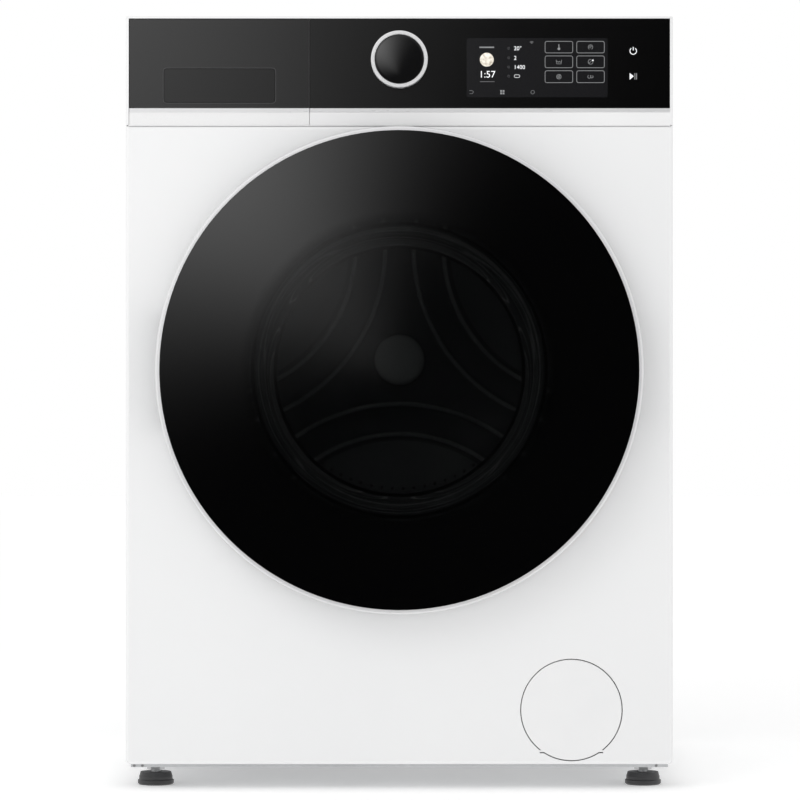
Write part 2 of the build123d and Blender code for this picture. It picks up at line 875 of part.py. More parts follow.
def pump_filter():
    """Screw-in lint filter: a grip, a sealing plug and a slotted basket."""
    y_low = front + filter_grip_depth
    plug = rod_y(filter_radius + 2, (y_low + 4, y_low + 8 - 0.4), filter_x, filter_z)
    plug += rod_y(filter_radius - 0.1, (y_low + 4, y_low + 22), filter_x, filter_z)
    plug += block((filter_x - 25, filter_x + 25), (y_low - 6, y_low + 5), (filter_z - 4, filter_z + 4))
    basket_y = (y_low + 22, y_low + filter_length - 4)
    basket = rod_y(23, basket_y, filter_x, filter_z)
    basket -= rod_y(21, (basket_y[0] + 2, basket_y[1] + 1), filter_x, filter_z)
    for step in range(4):
        turn = Pos(filter_x, 0, filter_z) * Rot(0, 45 * step, 0)
        for slot_y in (basket_y[0] + 8, basket_y[0] + 30):
            basket -= turn * block((-30, 30), (slot_y, slot_y + 16), (-5, 5))
    return plug + basket


def filter_cover():
    """Round cover over the filter, hinged near its lower edge."""
    cover = rod_y(filter_cover_radius, (front, front + filter_cover_thickness), filter_x, filter_z)
    cover = fillet(cover.faces().sort_by(Axis.Y)[0].edges(), 0.8)
    reach = filter_pin_reach() + 3.6
    pin_length = reach - sqrt(filter_cover_radius**2 - filter_hinge_drop**2) + 3
    pin_y = front + filter_cover_thickness / 2
    pin_z = filter_z - filter_hinge_drop
    for side in (-1, 1):
        ends = sorted((filter_x + side * (reach - pin_length), filter_x + side * reach))
        cover += rod_x(filter_pin_radius, ends, pin_y, pin_z)
    return cover


def sump_hose():
    """Rubber sleeve from the tub's sump down to the filter housing."""
    start_z = sump_spout_z() - 0.1
    port_x = filter_x - filter_radius - pump_wall - 10.1
    port_y = front + filter_grip_depth + 8 + filter_length / 2
    drop = filter_z + 6
    points = [
        (sump_x, front + sump_depth, start_z),
        (sump_x, front + sump_depth, (start_z + drop) / 2 + 6),
        (sump_x, port_y, drop),
        (port_x, port_y, drop),
    ]
    return hose(points, sump_hose_radius, sump_hose_wall)


def sump_spout_z():
    """Lower end of the tub's sump spout."""
    return drum_axis_z - tub_radius - 24


# ---------------------------------------------------------------- door
def door_y(ahead):
    """Y of a plane this far in front of the front panel."""
    return front - ahead


def dome_ahead(radius):
    """Distance in front of the panel of the glass's outer face at this radius."""
    rim = door_glass_radius()
    sphere = (rim**2 + door_dome**2) / (2 * door_dome)
    return door_proud - (sphere - sqrt(sphere**2 - radius**2))


def door_glass_radius():
    """Radius of the outer glass, inside the bright ring."""
    return door_radius - door_ring_width - 0.2


def door_glass_cover():
    """Slightly domed outer glass of the door."""
    rim = door_glass_radius()
    middle = rim / 2
    outer_face = ThreePointArc(
        (0, door_y(door_proud)), (middle, door_y(dome_ahead(middle))), (rim, door_y(dome_ahead(rim)))
    )
    inner_face = ThreePointArc(
        (rim, door_y(dome_ahead(rim) - door_glass)),
        (middle, door_y(dome_ahead(middle) - door_glass)),
        (0, door_y(door_proud - door_glass)),
    )
    edge = Line(outer_face @ 1, inner_face @ 0)
    axis_line = Line(inner_face @ 1, outer_face @ 0)
    outline = make_face([outer_face, edge, inner_face, axis_line])
    glass = revolve(Pos(0, 0, door_axis_z) * outline, Axis((0, 0, door_axis_z), (0, 1, 0)), 360)
    return glass


def notch_block(ahead_range):
    """Space kept free round the hinge, on the door's left."""
    z_range = (door_axis_z - hinge_notch_half, door_axis_z + hinge_notch_half)
    y_range = (door_y(ahead_range[1]), door_y(ahead_range[0]))
    return block((-door_radius - 1, -door_radius + hinge_notch_reach), y_range, z_range)


def grip_block(reach, ahead_range, extra=0):
    """Space of the hidden grip, on the door's right."""
    half = grip_half_height + extra
    y_range = (door_y(ahead_range[1]), door_y(ahead_range[0]))
    return block((door_radius - reach, door_radius + 1), y_range, (door_axis_z - half, door_axis_z + half))


def door_trim_ring():
    """Bright outer ring of the door, cut away behind for the hinge and the grip."""
    ring_front = dome_ahead(door_glass_radius()) + 0.8
    wall = 2.5
    lip_back = ring_front - door_glass - 3
    points = [
        (door_radius - wall, door_y(door_back_gap)),
        (door_radius, door_y(door_back_gap)),
        (door_radius, door_y(ring_front)),
        (door_radius - door_ring_width, door_y(ring_front)),
        (door_radius - door_ring_width, door_y(lip_back)),
        (door_radius - wall, door_y(lip_back)),
    ]
    outline = make_face(Polyline(*points, close=True))
    front_corner = outline.vertices().sort_by(Axis.Y)[:2].sort_by(Axis.X)[-1]
    outline = fillet(front_corner, 2.2)
    ring = revolve(Pos(0, 0, door_axis_z) * outline, Axis((0, 0, door_axis_z), (0, 1, 0)), 360)
    ring -= notch_block((0, hinge_ahead + 8))
    ring -= grip_block(12, (0, grip_depth))
    return ring


def door_inner_frame():
    """White frame that joins glass, bowl, hinge and hook, with the grip's pocket."""
    outer = door_radius - 2.5 - 0.3
    wall = plastic
    back = (door_back_gap, door_back_gap + wall)
    top = dome_ahead(door_glass_radius()) - door_glass - 0.4
    inner = door_window_radius + 1
    points = [
        (inner, door_y(back[0])),
        (outer, door_y(back[0])),
        (outer, door_y(top - 4)),
        (outer - wall, door_y(top - 4)),
        (outer - wall, door_y(back[1])),
        (inner + wall, door_y(back[1])),
        (inner + wall, door_y(top)),
        (inner, door_y(top)),
    ]
    frame = turned(points, door_axis_z)
    frame -= notch_block((0, hinge_ahead + 9))
    pocket = grip_block(grip_reach, (door_back_gap, grip_depth + wall), wall)
    pocket &= rod_y(outer, (door_y(top), door_y(0)), 0, door_axis_z)
    frame += pocket
    frame -= grip_block(grip_reach - wall, (0, grip_depth))
    hook_z = hook_height / 2 + 1.5
    hook_cut = (door_axis_z - hook_z, door_axis_z + hook_z)
    frame -= block((hook_x - 9, hook_x + 8), (door_y(22), door_y(0)), hook_cut)
    pin_y = door_y(hook_pivot_ahead)
    for side in (-1, 1):
        near = door_axis_z + side * hook_z
        lug = block((hook_x - 6, hook_x + 6), (pin_y - 6, door_y(back[1])), sorted((near, near + side * 5)))
        frame += lug
        frame -= rod_z(hook_pin_radius + running_gap, (near - 5, near + 5), hook_x, pin_y)
    return frame


def door_bowl():
    """Moulded glass bowl that reaches into the drum's mouth."""
    flange = door_window_radius
    waist = flange - 14
    outer = [
        (0, door_y(-bowl_reach)),
        (bowl_tip_radius - 20, door_y(-bowl_reach)),
        (bowl_tip_radius, door_y(-bowl_reach + 16)),
        (waist, door_y(-4)),
        (waist, door_y(8)),
        (flange, door_y(8)),
        (flange, door_y(8 + bowl_glass)),
        (waist - bowl_glass, door_y(8 + bowl_glass)),
        (waist - bowl_glass, door_y(-3)),
        (bowl_tip_radius - bowl_glass, door_y(-bowl_reach + 18)),
        (bowl_tip_radius - 22, door_y(-bowl_reach + bowl_glass)),
        (0, door_y(-bowl_reach + bowl_glass)),
    ]
    return turned(outer, door_axis_z)


def hinge_z_range():
    """Height of the door's knuckle between the bracket's ears."""
    return (door_axis_z - hinge_knuckle_height / 2, door_axis_z + hinge_knuckle_height / 2)


def door_hinge_arm():
    """Die-cast arm fixed to the door frame, with the knuckle that turns on the pin."""
    low, high = hinge_z_range()
    axis_y = door_y(hinge_ahead)
    arm = rod_z(hinge_knuckle_radius, (low, high), hinge_x, axis_y)
    bar = (axis_y - 3, axis_y + 3)
    end_x = -door_radius + hinge_notch_reach + 22
    arm += block((hinge_x, end_x), bar, (low + 6, high - 6))
    foot_x_range = (-door_radius + hinge_notch_reach + 1, end_x)
    frame_inside = door_y(door_back_gap + plastic)
    arm += block(foot_x_range, (axis_y, frame_inside), (low + 6, high - 6))
    return arm - rod_z(hinge_pin_radius + running_gap, (low - 1, high + 1), hinge_x, axis_y)


def door_hinge_bracket():
    """Bracket on the front panel: a plate, two cranked ears and the hinge pin."""
    low, high = hinge_z_range()
    axis_y = door_y(hinge_ahead)
    plate_x = (hinge_x + 14, hinge_x + 44)
    plate_z = (low - hinge_ear - 6, high + hinge_ear + 6)
    bracket = block(plate_x, (door_y(3), front), plate_z)
    ears = (
        (low - moving_gap - hinge_ear, low - moving_gap),
        (high + moving_gap, high + moving_gap + hinge_ear),
    )
    for ear in ears:
        bracket += rod_z(hinge_knuckle_radius, ear, hinge_x, axis_y)
        bracket += block((hinge_x, hinge_x + 34), (axis_y - 6, axis_y + 6), ear)
        bracket += block((hinge_x + 20, hinge_x + 34), (axis_y, front), ear)
    pin_z = (ears[0][0], ears[1][1])
    return bracket + rod_z(hinge_pin_radius, pin_z, hinge_x, axis_y)


def door_hook():
    """Sprung hook that enters the lock."""
    pin_y = door_y(hook_pivot_ahead)
    z_range = (door_axis_z - hook_height / 2, door_axis_z + hook_height / 2)
    shank = block((hook_x - 3, hook_x + 3), (pin_y, front + hook_tip_depth), z_range)
    shank += block((hook_x - 7, hook_x), (front + hook_tip_depth - 4, front + hook_tip_depth), z_range)
    shank += rod_z(4, z_range, hook_x, pin_y)
    pin_z = (z_range[0] - 5, z_range[1] + 5)
    return shank + rod_z(hook_pin_radius, pin_z, hook_x, pin_y)


def door_lock():
    """Lock body behind the front panel, with the cavity that the hook enters."""
    half = 34.0
    body = block(
        (hook_x - 16, hook_x + 18),
        (front + sheet, front + 40),
        (door_axis_z - half, door_axis_z + half),
    )
    slot_half = hook_height / 2 + 4
    slot_z = (door_axis_z - slot_half, door_axis_z + slot_half)
    body -= block((hook_x - 11, hook_x + 9), (front, front + hook_tip_depth + 8), slot_z)
    plug_z = (door_axis_z - 20, door_axis_z + 20)
    body += block((hook_x - 12, hook_x + 30), (front + 40, front + 52), plug_z)
    return body


def door_gasket():
    """Rubber gasket: a sleeve at the door, a web and a sleeve at the tub, which sits higher."""
    wall = 2.5
    web_y = (front + 31, front + 31 + wall)
    lip_y = (front - 3.5, front - 0.1)
    tub_end = front + tub_front_depth - tub_lip - 1
    door_sleeve = panel_opening_radius - 8
    tub_sleeve = tub_mouth_radius - 4
    web_z = (door_axis_z + drum_axis_z) / 2
    web_outer = max(door_sleeve, tub_sleeve) + drum_lift / 2 + 2
    web_inner = min(door_sleeve, tub_sleeve) - wall - drum_lift / 2 - 0.5
    gasket = rod_y(panel_opening_radius + 7, lip_y, 0, door_axis_z)
    gasket += rod_y(door_sleeve, (lip_y[1], web_y[0]), 0, door_axis_z)
    gasket -= rod_y(door_sleeve - wall, (lip_y[0] - 1, web_y[0]), 0, door_axis_z)
    web = rod_y(web_outer, web_y, 0, web_z) - rod_y(web_inner, (web_y[0] - 1, web_y[1] + 1), 0, web_z)
    rear_sleeve = rod_y(tub_sleeve, (web_y[1], tub_end), 0, drum_axis_z)
    rear_sleeve -= rod_y(tub_sleeve - wall, (web_y[1] - 1, tub_end + 1), 0, drum_axis_z)
    return gasket + web + rear_sleeve


# ---------------------------------------------------------------- tub
def tub_front():
    """Front half of the plastic tub, with its mouth, sump and dispenser inlet."""
    y_front = front + tub_front_depth
    y_split = front + tub_split_depth
    inner = tub_radius - tub_wall
    mouth = tub_mouth_radius
    lip_y = y_front - tub_lip
    points = [
        (mouth, lip_y),
        (mouth + tub_wall, lip_y),
        (mouth + tub_wall, y_front),
        (tub_radius, y_front),
        (tub_radius, y_split - 8),
        (tub_radius + tub_flange, y_split - 8),
        (tub_radius + tub_flange, y_split),
        (inner, y_split),
        (inner, y_front + tub_wall),
        (mouth, y_front + tub_wall),
    ]
    tub = turned(points, drum_axis_z)
    inlet_x, inlet_y = outlet_place()
    shell_z = drum_axis_z + tub_z(inlet_x, tub_radius)
    spout = rod_z(24, (shell_z - 30, shell_z + 24), inlet_x, inlet_y)
    spout -= rod_y(inner + 1, (y_front, y_split), 0, drum_axis_z)
    tub += spout
    tub -= rod_z(20, (shell_z - 60, shell_z + 25), inlet_x, inlet_y)
    sump_shell_z = drum_axis_z - tub_z(sump_x, inner)
    sump = rod_z(17, (sump_spout_z(), sump_shell_z), sump_x, front + sump_depth)
    sump -= rod_y(inner + 1, (y_front, y_split), 0, drum_axis_z)
    tub += sump
    tub -= rod_z(14, (sump_spout_z() - 1, sump_shell_z + 20), sump_x, front + sump_depth)
    return tub


def tub_rear():
    """Rear half of the tub, with the bearing hub, ribs and the suspension lugs."""
    y_split = front + tub_split_depth
    y_rear = front + tub_rear_depth
    inner = tub_radius - tub_wall
    bearing_y = bearing_places()
    hub_front = bearing_y[0][0] - 4
    hub_rear = bearing_y[1][1]
    points = [
        (inner, y_split),
        (tub_radius + tub_flange, y_split),
        (tub_radius + tub_flange, y_split + 8),
        (tub_radius, y_split + 8),
        (tub_radius, y_rear),
        (hub_radius, y_rear),
        (hub_radius, hub_rear),
        (bearing_radius, hub_rear),
        (bearing_radius, bearing_y[1][0]),
        (bearing_radius - 3, bearing_y[1][0]),
        (bearing_radius - 3, bearing_y[0][1]),
        (bearing_radius, bearing_y[0][1]),
        (bearing_radius, hub_front),
        (hub_radius, hub_front),
        (hub_radius, y_rear - tub_wall),
        (inner, y_rear - tub_wall),
    ]
    tub = turned(points, drum_axis_z)
    rib_depth = 18.0
    for step in range(12):
        rib = block((hub_radius - 2, tub_radius - 6), (y_rear - 1, y_rear + rib_depth), (-1.5, 1.5))
        angle = 15 + 30 * step
        tub += Pos(0, 0, drum_axis_z) * Rot(0, angle, 0) * rib
    ring_outer = rod_y(tub_radius - 4, (y_rear - 1, y_rear + rib_depth), 0, drum_axis_z)
    ring_inner = rod_y(tub_radius - 8, (y_rear - 2, y_rear + rib_depth + 1), 0, drum_axis_z)
    tub += ring_outer - ring_inner
    core = rod_y(inner + 1, (y_split, y_rear - 1), 0, drum_axis_z)
    for side in (-1, 1):
        y_mid = front + spring_depth
        x_range = sorted((side * (tub_radius - 100), side * (spring_x + 9)))
        lug = block(x_range, (y_mid - 3, y_mid + 3), (tub_lug_z - 26, tub_lug_z))
        tub += lug - core
        x_lug = side * damper_x
        y_lug = front + damper_depth + 10
        lug_top = drum_axis_z - tub_z(damper_x, tub_radius) + 26
        damper_lug = block(
            (x_lug - 12, x_lug + 12), (y_lug - 22, y_lug + 10), (damper_lug_z, lug_top)
        )
        damper_lug -= block((-tub_radius, tub_radius), (front, y_split), (0, drum_axis_z))
        tub += damper_lug - core
        flange_reach = (y_split, y_split + 14)
        tub += block((x_lug - 12, x_lug + 12), flange_reach, (damper_lug_z, damper_lug_z + 6))
    motor_y = (front + tub_rear_depth - motor_length, front + tub_rear_depth - 30)
    for x in (motor_x - 34, motor_x + 34):
        lug_top = drum_axis_z - tub_z(abs(x), tub_radius) + 3
        bracket = block((x - 4, x + 4), motor_y, (motor_z + 49, lug_top))
        tub += bracket - core - rod_y(motor_radius, motor_y, motor_x, motor_z)
    tub -= heater_slot()
    return tub


def heater_slot():
    """Slot in the tub's rear wall that takes the heater's flange."""
    z = heater_z()
    y_rear = front + tub_rear_depth
    return block((-24, 24), (y_rear - 6, y_rear + 20), (z - 8, z + 8))


def heater_z():
    """Height of the heater under the drum."""
    return drum_axis_z - drum_radius - drum_gap / 2 - 0.5


def heater():
    """Tubular heater under the drum, on its sealing flange."""
    y_rear = front + tub_rear_depth
    z = heater_z()
    tube_radius = 3.2
    spacing = 12.0
    y_far = y_rear - 150
    flange = block((-24, 24), (y_rear - tub_wall, y_rear + 6), (z - 8, z + 8))
    element = flange
    for side in (-1, 1):
        element += rod_y(tube_radius, (y_far, y_rear + 18), side * spacing, z)
    bend = rod_x(tube_radius, (-spacing, spacing), y_far, z)
    return element + bend


def bearing_places():
    """Y ranges of the inner and outer drum bearing."""
    y_mid = front + tub_rear_depth + 10
    inner = (y_mid - bearing_spread / 2 - bearing_width / 2, y_mid - bearing_spread / 2 + bearing_width / 2)
    outer = (y_mid + bearing_spread / 2 - bearing_width / 2, y_mid + bearing_spread / 2 + bearing_width / 2)
    return (inner, outer)


def drum_bearings():
    """Two ball bearings in the tub's hub."""
    rings = []
    for y_range in bearing_places():
        ring = rod_y(bearing_radius, y_range, 0, drum_axis_z)
        ring -= rod_y(shaft_radius + running_gap, (y_range[0] - 1, y_range[1] + 1), 0, drum_axis_z)
        rings.append(ring)
    return Compound(rings)


def counterweights():
    """Concrete blocks: one saddle on top of the tub and one arc under its mouth."""
    y_front = front + tub_front_depth
    top_y = (y_front + 30, front + tub_split_depth - 9)
    top = block((-95, 95), top_y, (drum_axis_z + tub_radius - 30, drum_axis_z + tub_radius + 62))
    top = fillet(top.edges().filter_by(Axis.Y).group_by(Axis.Z)[-1], 22)
    top -= rod_y(tub_radius + 0.01, (top_y[0] - 1, top_y[1] + 1), 0, drum_axis_z)
    arc_y = (y_front - 44, y_front)
    arc = rod_y(tub_radius - 6, arc_y, 0, drum_axis_z)
    arc -= rod_y(tub_mouth_radius + 22, (arc_y[0] - 1, arc_y[1] + 1), 0, drum_axis_z)
    keep = block((-200, 200), (arc_y[0] - 1, arc_y[1] + 1), (drum_axis_z - tub_radius, drum_axis_z - 110))
    return Compound([top.solid(), (arc & keep).solid()])


def damper_rods():
    """Two damper rods, fixed to the tub and sliding in the cylinders."""
    y = front + damper_depth
    rods = []
    low = damper_bottom + 30
    for side in (-1, 1):
        rod = rod_z(damper_rod_radius, (low, damper_lug_z), side * damper_x, y + 5)
        piston = rod_z(damper_radius - 2.05, (low - 8, low), side * damper_x, y + 5)
        rods.append((rod + piston).solid())
    return Compound(rods)


def damper_cylinders():
    """Two friction damper cylinders standing on the base."""
    y = front + damper_depth
    cylinders = []
    for side in (-1, 1):
        x = side * damper_x
        z_range = (damper_bottom, damper_bottom + damper_length)
        cylinder = rod_z(damper_radius, z_range, x, y + 5)
        cylinder -= rod_z(damper_radius - 2, (z_range[0] + 4, z_range[1] - 4), x, y + 5)
        cylinder -= rod_z(damper_rod_radius + running_gap, (z_range[0] + 10, z_range[1] + 1), x, y + 5)
        cylinders.append(cylinder.solid())
    return Compound(cylinders)


def suspension_springs():
    """Two tension springs between the side brackets and the tub's lugs."""
    hanger_z = worktop_underside - hanger_drop
    springs = []
    y_mid = front + spring_depth
    low = tub_lug_z + 14
    high = hanger_z - 26
    for side in (-1, 1):
        x = side * spring_x
        coil = rod_z(spring_radius, (low, high), x, y_mid)
        coil -= rod_z(spring_radius - spring_wire, (low + 3, high - 3), x, y_mid)
        coil += rod_z(spring_wire / 2, (high - 1, hanger_z - 12.2), x, y_mid)
        coil += rod_z(spring_wire / 2, (tub_lug_z + 0.2, low + 1), x, y_mid)
        springs.append(coil.solid())
    return Compound(springs)


def dispenser_hose():
    """Bellows hose from the dispenser's spout to the tub's inlet."""
    x, y = outlet_place()
    low = drum_axis_z + tub_z(x, tub_radius) + 24.2
    high = housing_bottom() - 0.2
    sleeve = rod_z(24, (low, high), x, y)
    return sleeve - rod_z(21, (low - 1, high + 1), x, y)


# ---------------------------------------------------------------- drum and drive
def drum_shell():
    """Steel drum wrapper with its rolled front mouth."""
    y_front = front + drum_front_depth
    y_rear = y_front + drum_length
    roll = 14.0
    points = [
        (drum_mouth_radius, y_front),
        (drum_radius - 6, y_front),
        (drum_radius, y_front + 6),
        (drum_radius, y_rear),
        (drum_radius - drum_sheet, y_rear),
        (drum_radius - drum_sheet, y_front + 6.4),
        (drum_radius - 6.4, y_front + drum_sheet),
        (drum_mouth_radius + drum_sheet, y_front + drum_sheet),
        (drum_mouth_radius + drum_sheet, y_front + roll),
        (drum_mouth_radius, y_front + roll),
    ]
    return turned(points, drum_axis_z)


def drum_back():
    """Rear wall of the drum: a plate with three curved pressed channels and a hub disc."""
    y_rear = front + drum_front_depth + drum_length
    plate_y = (y_rear - 4, y_rear - 2)
    plate = rod_y(drum_radius - drum_sheet, plate_y, 0, drum_axis_z)
    plate += rod_y(drum_disc_radius, (plate_y[0] - 4, plate_y[0]), 0, drum_axis_z)
    rim = drum_radius - drum_sheet
    plate += rod_y(rim, (plate_y[1] - 0.5, y_rear), 0, drum_axis_z) - rod_y(
        rim - 2, (plate_y[1] - 1, y_rear + 1), 0, drum_axis_z
    )
    bead_width = 4.0
    bow_radius = 215.0
    bow_distance = 268.0
    channel_width = 36.0
    for third in range(3):
        angle = radians(30 + 120 * third)
        cx = bow_distance * cos(angle)
        cz = drum_axis_z + bow_distance * sin(angle)
        for radius in (bow_radius, bow_radius - channel_width):
            bead_y = (plate_y[0] - 1.5, plate_y[0])
            bead = rod_y(radius + bead_width / 2, bead_y, cx, cz)
            bead -= rod_y(radius - bead_width / 2, (bead_y[0] - 1, bead_y[1] + 1), cx, cz)
            bead &= rod_y(rim - 22, bead_y, 0, drum_axis_z)
            plate += bead
    return plate


def drum_lifters():
    """Three hollow-backed paddles that lift the laundry."""
    y_front = front + drum_front_depth
    y_range = (y_front + 24, y_front + drum_length - 12)
    base_half = 32.0
    crest_half = 11.0
    height = 62.0
    wall_radius = drum_radius - drum_sheet - 0.2
    root = sqrt(wall_radius**2 - base_half**2)
    paddles = []
    for third in range(3):
        outline = Polyline(
            (-base_half, -root),
            (-crest_half, -root + height),
            (crest_half, -root + height),
            (base_half, -root),
            close=True,
        )
        face = make_face(outline)
        crest = face.vertices().sort_by(Axis.Y)[-2:]
        face = fillet(crest, 8)
        seat = Plane((0, y_range[1], 0), x_dir=(1, 0, 0), z_dir=(0, -1, 0))
        paddle = extrude(seat * face, y_range[1] - y_range[0])
        paddles.append((Pos(0, 0, drum_axis_z) * Rot(0, 120 * third, 0) * paddle).solid())
    return Compound(paddles)


def drum_spider():
    """Three-armed cast spider with the drum shaft pressed into its hub."""
    y_rear = front + drum_front_depth + drum_length
    arm_y = (y_rear, y_rear + 14)
    hub_y = (y_rear, bearing_places()[0][0] - 0.5)
    spider = rod_y(hub_radius + 4, (y_rear, y_rear + 14), 0, drum_axis_z)
    for third in range(3):
        arm = block((0, drum_radius - 6), arm_y, (-13, 13))
        spider += Pos(0, 0, drum_axis_z) * Rot(0, 90 + 120 * third, 0) * arm
    spider += rod_y(shaft_radius + 3, hub_y, 0, drum_axis_z)
    shaft_end = front + pulley_depth + pulley_width
    spider += rod_y(shaft_radius, (y_rear, shaft_end), 0, drum_axis_z)
    return spider


def pulley_y():
    """Y range of the drum pulley, the motor pulley and the belt."""
    return (front + pulley_depth, front + pulley_depth + pulley_width)


def drum_pulley():
    """Spoked pulley fixed to the end of the drum shaft."""
    y_range = pulley_y()
    rim = rod_y(pulley_radius, y_range, 0, drum_axis_z)
    rim -= rod_y(pulley_radius - 6, (y_range[0] - 1, y_range[1] + 1), 0, drum_axis_z)
    hub = rod_y(28, y_range, 0, drum_axis_z)
    wheel = rim + hub
    spoke_y = (y_range[0] + 5, y_range[1] - 5)
    for step in range(6):
        spoke = block((20, pulley_radius - 3), spoke_y, (-7, 7))
        wheel += Pos(0, 0, drum_axis_z) * Rot(0, 60 * step, 0) * spoke
    wheel -= rod_y(shaft_radius, (y_range[0] - 1, y_range[1]), 0, drum_axis_z)
    bolt = rod_y(shaft_radius + 5, (y_range[1], y_range[1] + 7), 0, drum_axis_z)
    return wheel + bolt


def motor_rotor():
    """Motor shaft with its rotor core and the small belt pulley."""
    y_low, y_high = motor_y_range()
    rotor = rod_y(motor_shaft_radius, (y_low + 6, pulley_y()[1] + 2), motor_x, motor_z)
    rotor += rod_y(32, (y_low + 26, y_high - 26), motor_x, motor_z)
    rotor += rod_y(motor_pulley_radius, pulley_y(), motor_x, motor_z)
    for y in (pulley_y()[0] - 1.5, pulley_y()[1]):
        rotor += rod_y(motor_pulley_radius + 5, (y, y + 1.5), motor_x, motor_z)
    return rotor


def motor_y_range():
    """Y range of the motor's body."""
    y_high = front + tub_rear_depth - 8
    return (y_high - motor_length, y_high)


def motor_body():
    """Motor housing with the stator ring inside and two cooling windows."""
    y_low, y_high = motor_y_range()
    body = rod_y(motor_radius, (y_low, y_high), motor_x, motor_z)
    body = fillet(body.edges().filter_by(GeomType.CIRCLE), 6)
    body -= rod_y(motor_radius - 4, (y_low + 4, y_high - 4), motor_x, motor_z)
    stator = rod_y(motor_radius - 4, (y_low + 30, y_high - 30), motor_x, motor_z)
    stator -= rod_y(33, (y_low + 29, y_high - 29), motor_x, motor_z)
    body += stator
    bore = motor_shaft_radius + running_gap
    body += rod_y(18, (y_high - 16, y_high + 6), motor_x, motor_z)
    body += rod_y(18, (y_low + 1, y_low + 16), motor_x, motor_z)
    body -= rod_y(bore, (y_low + 4, y_high + 7), motor_x, motor_z)
    return body


def belt_outline(extra):
    """Closed outline round both pulleys, this far outside them."""
    big = pulley_radius + extra
    small = motor_pulley_radius + extra
    run_x = motor_x
    run_z = motor_z - drum_axis_z
    span = sqrt(run_x**2 + run_z**2)
    heading = atan2(run_z, run_x)
    spread = acos((big - small) / span)
    corners = []
    for side in (1, -1):
        angle = heading + side * spread
        corners.append((big * cos(angle), big * sin(angle)))
        corners.append((run_x + small * cos(angle), run_z + small * sin(angle)))
    first, second, fourth, third = corners
    web = make_face(Polyline(first, second, third, fourth, close=True))
    return Circle(big) + Pos(run_x, run_z) * Circle(small) + web


def drive_belt():
    """Flat ribbed belt round both pulleys."""
    loop = belt_outline(belt_gap + belt_thickness) - belt_outline(belt_gap)
    margin = 1.5
    y_low, y_high = pulley_y()
    place = Plane((0, y_high - margin, drum_axis_z), x_dir=(1, 0, 0), z_dir=(0, -1, 0))
    return extrude(place * loop, y_high - y_low - 2 * margin)


# ---------------------------------------------------------------- write every node
save("left_side_panel", side_panel(-1))
save("right_side_panel", side_panel(1))
save("rear_panel", rear_panel())
save("rear_service_cover", rear_service_cover())
save("rear_screws", rear_screws())
save("transit_plugs", transit_plugs())
save("top_panel", top_panel())
save("front_panel", front_panel())
save("base_tray", base_tray())
save("lock_nuts", lock_nuts())
foot_names = ("foot_front_left", "foot_front_right", "foot_rear_left", "foot_rear_right")
for name, (x, y) in zip(foot_names, foot_places()):
    save(name, foot(x, y))
save("fascia_carrier", fascia_carrier())
save("fascia_panel", fascia_panel())
save("fascia_trim", fascia_trim())
save("control_board", control_board())
save("knob_cap", knob_cap())
save("knob_ring", knob_ring())
save("drawer_front", drawer_front())
save("drawer_flap", drawer_flap())
save("drawer_tray", drawer_tray())
save("siphon_cap", siphon_cap())
save("dispenser_housing", dispenser_housing())
save("inlet_valve", inlet_valve())
save("inlet_hose", inlet_hose())
save("dispenser_hose", dispenser_hose())
save("cable_gland", cable_gland())
save("drain_hose", drain_hose())
save("drain_pump", drain_pump())
save("pump_impeller", pump_impeller())
save("pump_filter", pump_filter())
save("filter_cover", filter_cover())
save("sump_hose", sump_hose())
save("door_glass_cover", door_glass_cover())
save("door_trim_ring", door_trim_ring())
save("door_inner_frame", door_inner_frame())
save("door_bowl", door_bowl())
save("door_hinge_arm", door_hinge_arm())
save("door_hinge_bracket", door_hinge_bracket())
save("door_hook", door_hook())
save("door_lock", door_lock())
save("door_gasket", door_gasket())
save("tub_front", tub_front())
save("tub_rear", tub_rear())
save("drum_bearings", drum_bearings())
save("counterweights", counterweights())
save("damper_rods", damper_rods())
save("damper_cylinders", damper_cylinders())
save("suspension_springs", suspension_springs())
save("heater", heater())
save("drum_shell", drum_shell())
save("drum_back", drum_back())
save("drum_lifters", drum_lifters())
save("drum_spider", drum_spider())
save("drum_pulley", drum_pulley())
save("motor_rotor", motor_rotor())
save("motor_body", motor_body())
save("drive_belt", drive_belt())
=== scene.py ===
from math import cos, exp, pi, radians, sin

import bmesh
import bpy
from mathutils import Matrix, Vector


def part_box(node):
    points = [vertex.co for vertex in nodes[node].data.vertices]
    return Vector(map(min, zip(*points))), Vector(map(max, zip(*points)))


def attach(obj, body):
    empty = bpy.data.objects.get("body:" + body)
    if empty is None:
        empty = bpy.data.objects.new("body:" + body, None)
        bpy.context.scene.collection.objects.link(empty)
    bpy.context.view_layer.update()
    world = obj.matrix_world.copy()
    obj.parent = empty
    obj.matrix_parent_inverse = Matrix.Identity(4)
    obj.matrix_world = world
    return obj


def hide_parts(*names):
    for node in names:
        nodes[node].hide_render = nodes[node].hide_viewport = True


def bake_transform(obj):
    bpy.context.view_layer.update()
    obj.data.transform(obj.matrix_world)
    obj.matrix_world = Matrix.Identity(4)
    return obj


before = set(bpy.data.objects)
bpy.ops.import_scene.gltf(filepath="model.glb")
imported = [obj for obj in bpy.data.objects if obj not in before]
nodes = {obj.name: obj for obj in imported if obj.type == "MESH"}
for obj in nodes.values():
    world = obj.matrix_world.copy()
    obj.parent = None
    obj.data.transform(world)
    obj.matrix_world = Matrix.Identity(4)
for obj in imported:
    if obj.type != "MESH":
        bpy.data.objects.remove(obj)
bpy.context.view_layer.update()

# Looks of a front load washing machine. Metres, +Z up, the front faces -Y, the origin is on the floor.

MM = 0.001

